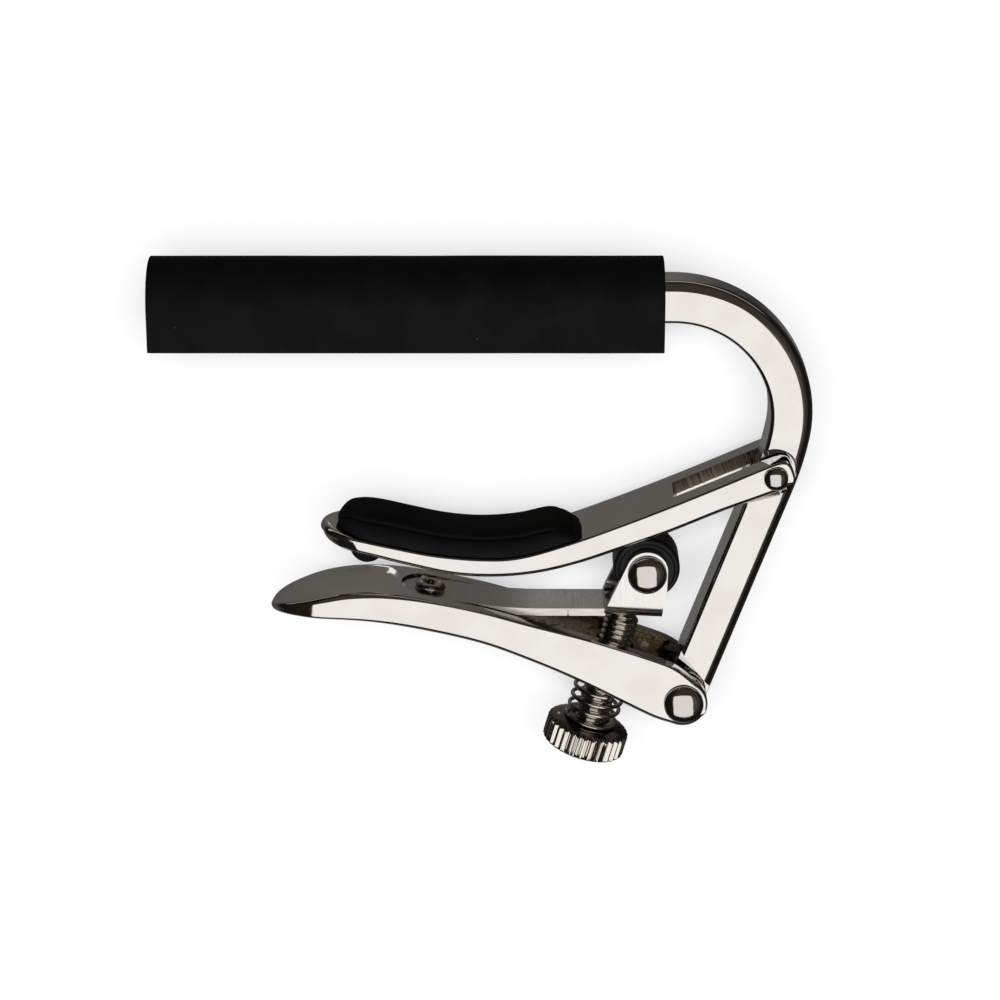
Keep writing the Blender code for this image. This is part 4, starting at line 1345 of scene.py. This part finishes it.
# ------------------------------------------------------------------ studio world
DEG = pi / 180
WHITE = (1.02, 1.02, 1.02)


def on_main_view(tree):
    """1 when the camera looks along MAIN_VIEW, 0 well away from it."""
    turn = tree.to_camera()
    turn.inputs[0].default_value = MAIN_VIEW
    parts = tree.new("ShaderNodeSeparateXYZ")
    tree.link(turn.outputs[0], parts.inputs[0])
    facing_it = tree.math("ABSOLUTE", parts.outputs[2])
    return tree.ramp(facing_it, over=(cos(radians(16)), cos(radians(6))))


def light_card(tree, right, up, back):
    """A bright card tipped 47 degrees up from the lens, flaring and skewed towards its top."""
    tilt = 47 * DEG
    ahead = tree.add(tree.times(back, cos(tilt)), tree.times(up, -sin(tilt)))
    above = tree.add(tree.times(back, sin(tilt)), tree.times(up, cos(tilt)))
    # up and ahead are swapped in sign so that the card's own axes stay square
    across = tree.math("DIVIDE", right, tree.math("MAXIMUM", ahead, 0.05))
    height = tree.math("DIVIDE", above, tree.math("MAXIMUM", ahead, 0.05))
    flare = tree.add(1.0, tree.times(tree.math("MAXIMUM", height, 0.0), 0.75))
    across = tree.add(tree.math("DIVIDE", across, flare), tree.times(height, 0.09))
    return tree.times(
        tree.window(across, low=-0.47, high=0.47, soft=0.02),
        tree.window(height, low=-0.52, high=0.98, soft=0.03),
    )


def studio_world():
    """Reflections laid out round the camera; the camera itself sees white."""
    world = bpy.data.worlds.new("studio")
    world.use_nodes = True
    SCENE.world = world
    world.node_tree.nodes.clear()
    tree = Nodes(world.node_tree)
    direction = tree.new("ShaderNodeTexCoord").outputs["Generated"]
    turn = tree.to_camera()
    tree.link(direction, turn.inputs[0])
    unit = tree.new("ShaderNodeVectorMath", operation="NORMALIZE")
    tree.link(turn.outputs[0], unit.inputs[0])
    parts = tree.new("ShaderNodeSeparateXYZ")
    tree.link(unit.outputs[0], parts.inputs[0])
    right, up, ahead = parts.outputs
    back = tree.times(ahead, -1.0)
    azimuth = tree.math("ARCTAN2", right, back)  # 0 towards the lens, positive to its right
    elevation = tree.math("ARCSINE", up)
    pitch = tree.math("ARCTAN2", up, back)  # 0 towards the lens, 90 degrees straight up
    off = tree.math("ARCCOSINE", back)  # angle away from the lens

    card = light_card(tree, right, up, back)
    # a narrow strip overhead
    strip = tree.times(
        tree.window(pitch, low=95, high=105, soft=2.0, unit=DEG),
        tree.window(tree.math("ARCSINE", right), low=-50, high=50, soft=6.0, unit=DEG),
    )
    # glow away from the lens, strongest a little left of the middle
    glow = tree.times(
        tree.ramp(right, over=(0.04, 0.42), to=(1.0, 0.0)),
        tree.ramp(right, over=(-0.8, -0.05), to=(0.45, 1.0)),
    )
    # the dim room round the lens, darker to its left
    near = tree.times(
        tree.ramp(off, over=(62 * DEG, 92 * DEG), to=(1.0, 0.0)),
        tree.ramp(azimuth, over=(-42 * DEG, -28 * DEG), to=(0.12, 1.0)),
    )
    # warm spill low on the right
    spill = tree.times(
        tree.ramp(azimuth, over=(22 * DEG, 62 * DEG), to=(1.0, 0.0), smooth=False),
        tree.window(azimuth, low=10, high=70, soft=3, unit=DEG),
    )
    spill = tree.times(spill, tree.window(elevation, low=-80, high=-5, soft=6, unit=DEG))
    tone = tree.mix(near, (0.009, 0.0078, 0.0068), (0.046, 0.039, 0.034))
    tone = tree.mix(tree.times(spill, 0.10), tone, (1.0, 0.88, 0.76))
    side_tone = tree.mix(glow, (0.020, 0.018, 0.016), (0.132, 0.127, 0.119))
    tone = tree.mix(tree.ramp(off, over=(104 * DEG, 122 * DEG)), tone, side_tone)
    behind = tree.ramp(off, over=(150 * DEG, 170 * DEG))
    tone = tree.mix(behind, tone, (0.155, 0.151, 0.144))

    # from other views a brighter room with a dark band just under the horizon comes in
    sky = tree.new("ShaderNodeSeparateXYZ")
    tree.link(direction, sky.inputs[0])
    height = sky.outputs[2]
    room = tree.mix(
        tree.ramp(height, over=(-0.7, 0.85)), (0.16, 0.155, 0.15), (0.60, 0.595, 0.58)
    )
    from_band = tree.math("ABSOLUTE", tree.add(height, 0.12))
    dark_band = tree.ramp(from_band, over=(0.04, 0.16), to=(0.75, 0.0))
    room = tree.mix(dark_band, room, (0.03, 0.028, 0.026))
    other_view = tree.times(tree.minus(1.0, on_main_view(tree)), 0.8)
    tone = tree.mix(other_view, tone, room)
    tone = tree.mix(strip, tone, (0.42, 0.39, 0.35))
    tone = tree.mix(card, tone, (1.09, 1.075, 1.05))

    seen = tree.new("ShaderNodeLightPath").outputs["Is Camera Ray"]
    background = tree.new("ShaderNodeBackground")
    tree.link(tree.mix(seen, tone, WHITE), background.inputs["Color"])
    output = tree.new("ShaderNodeOutputWorld")
    tree.link(background.outputs[0], output.inputs["Surface"])


studio_world()


# ------------------------------------------------------------------ backdrop and floor, glowing sheets with painted shadows
def contact_shade(tree, reach, low, depth, power, lean):
    """White, with a painted shadow greyed to low where the object stands within reach (metres).

    depth and power shape the falloff; lean is the rise of the open side, in degrees.
    """
    # painted shadow: the sheet's glow is greyed where ambient occlusion finds the object near
    occlusion = tree.new("ShaderNodeAmbientOcclusion", samples=12)
    occlusion.inputs["Distance"].default_value = reach
    side = tree.new("ShaderNodeCombineXYZ")
    side.inputs[1].default_value = -cos(radians(lean))
    side.inputs[2].default_value = sin(radians(lean))
    tree.link(side.outputs[0], occlusion.inputs["Normal"])
    painted_shadow = tree.math("POWER", tree.minus(1.0, occlusion.outputs["AO"]), power)
    outside_painted_shadow = tree.math("MAXIMUM", tree.minus(1.0, tree.times(painted_shadow, depth)), 0.0)
    return tree.mix(outside_painted_shadow, low, WHITE)


def sheet(name, corners, main_view, **shading):
    """A flat glowing sheet only the camera sees, carrying a painted shadow; it lights nothing and
    shows in no reflection.

    It shows in the main view or, if main_view is false, in all others.
    """
    mesh = bpy.data.meshes.new(name)
    mesh.from_pydata([metres(*corner) for corner in corners], [], [(0, 1, 2, 3)])
    obj = bpy.data.objects.new(name, mesh)
    SCENE.collection.objects.link(obj)
    mat = bpy.data.materials.new(name)
    mat.use_nodes = True
    mat.node_tree.nodes.clear()
    tree = Nodes(mat.node_tree)
    light = tree.new("ShaderNodeEmission")
    tree.link(contact_shade(tree, **shading), light.inputs["Color"])
    keep = on_main_view(tree)
    if not main_view:
        keep = tree.minus(1.0, keep)
    clear = tree.new("ShaderNodeBsdfTransparent")
    path = tree.new("ShaderNodeLightPath")
    front = tree.minus(1.0, tree.new("ShaderNodeNewGeometry").outputs["Backfacing"])
    keep = tree.times(keep, tree.times(path.outputs["Is Camera Ray"], front))
    both = tree.new("ShaderNodeMixShader")
    tree.link(keep, both.inputs[0])
    tree.link(clear.outputs[0], both.inputs[1])
    tree.link(light.outputs[0], both.inputs[2])
    output = tree.new("ShaderNodeOutputMaterial")
    tree.link(both.outputs[0], output.inputs["Surface"])
    mesh.materials.append(mat)
    obj.visible_shadow = False
    obj.visible_diffuse = False
    obj.visible_glossy = False
    obj.visible_transmission = False


# the backdrop's painted shadow: a tight grey halo round the object, in the main view
sheet(
    "backdrop",
    [(-150, 7.0, -220), (170, 7.0, -220), (170, 7.0, 110), (-150, 7.0, 110)],
    main_view=True,
    reach=0.0070, low=(0.30, 0.303, 0.31), depth=1.9, power=1.5, lean=36.0,
)
# the floor's painted contact shadow, in the other views
sheet(
    "floor",
    [(-400, -400, -95.5), (400, -400, -95.5), (400, 400, -95.5), (-400, 400, -95.5)],
    main_view=False,
    reach=0.075, low=(0.42, 0.42, 0.43), depth=1.0, power=1.0, lean=90.0,
)

SCENE.view_settings.view_transform = "Standard"
SCENE.view_settings.look = "None"
SCENE.cycles.use_denoising = True
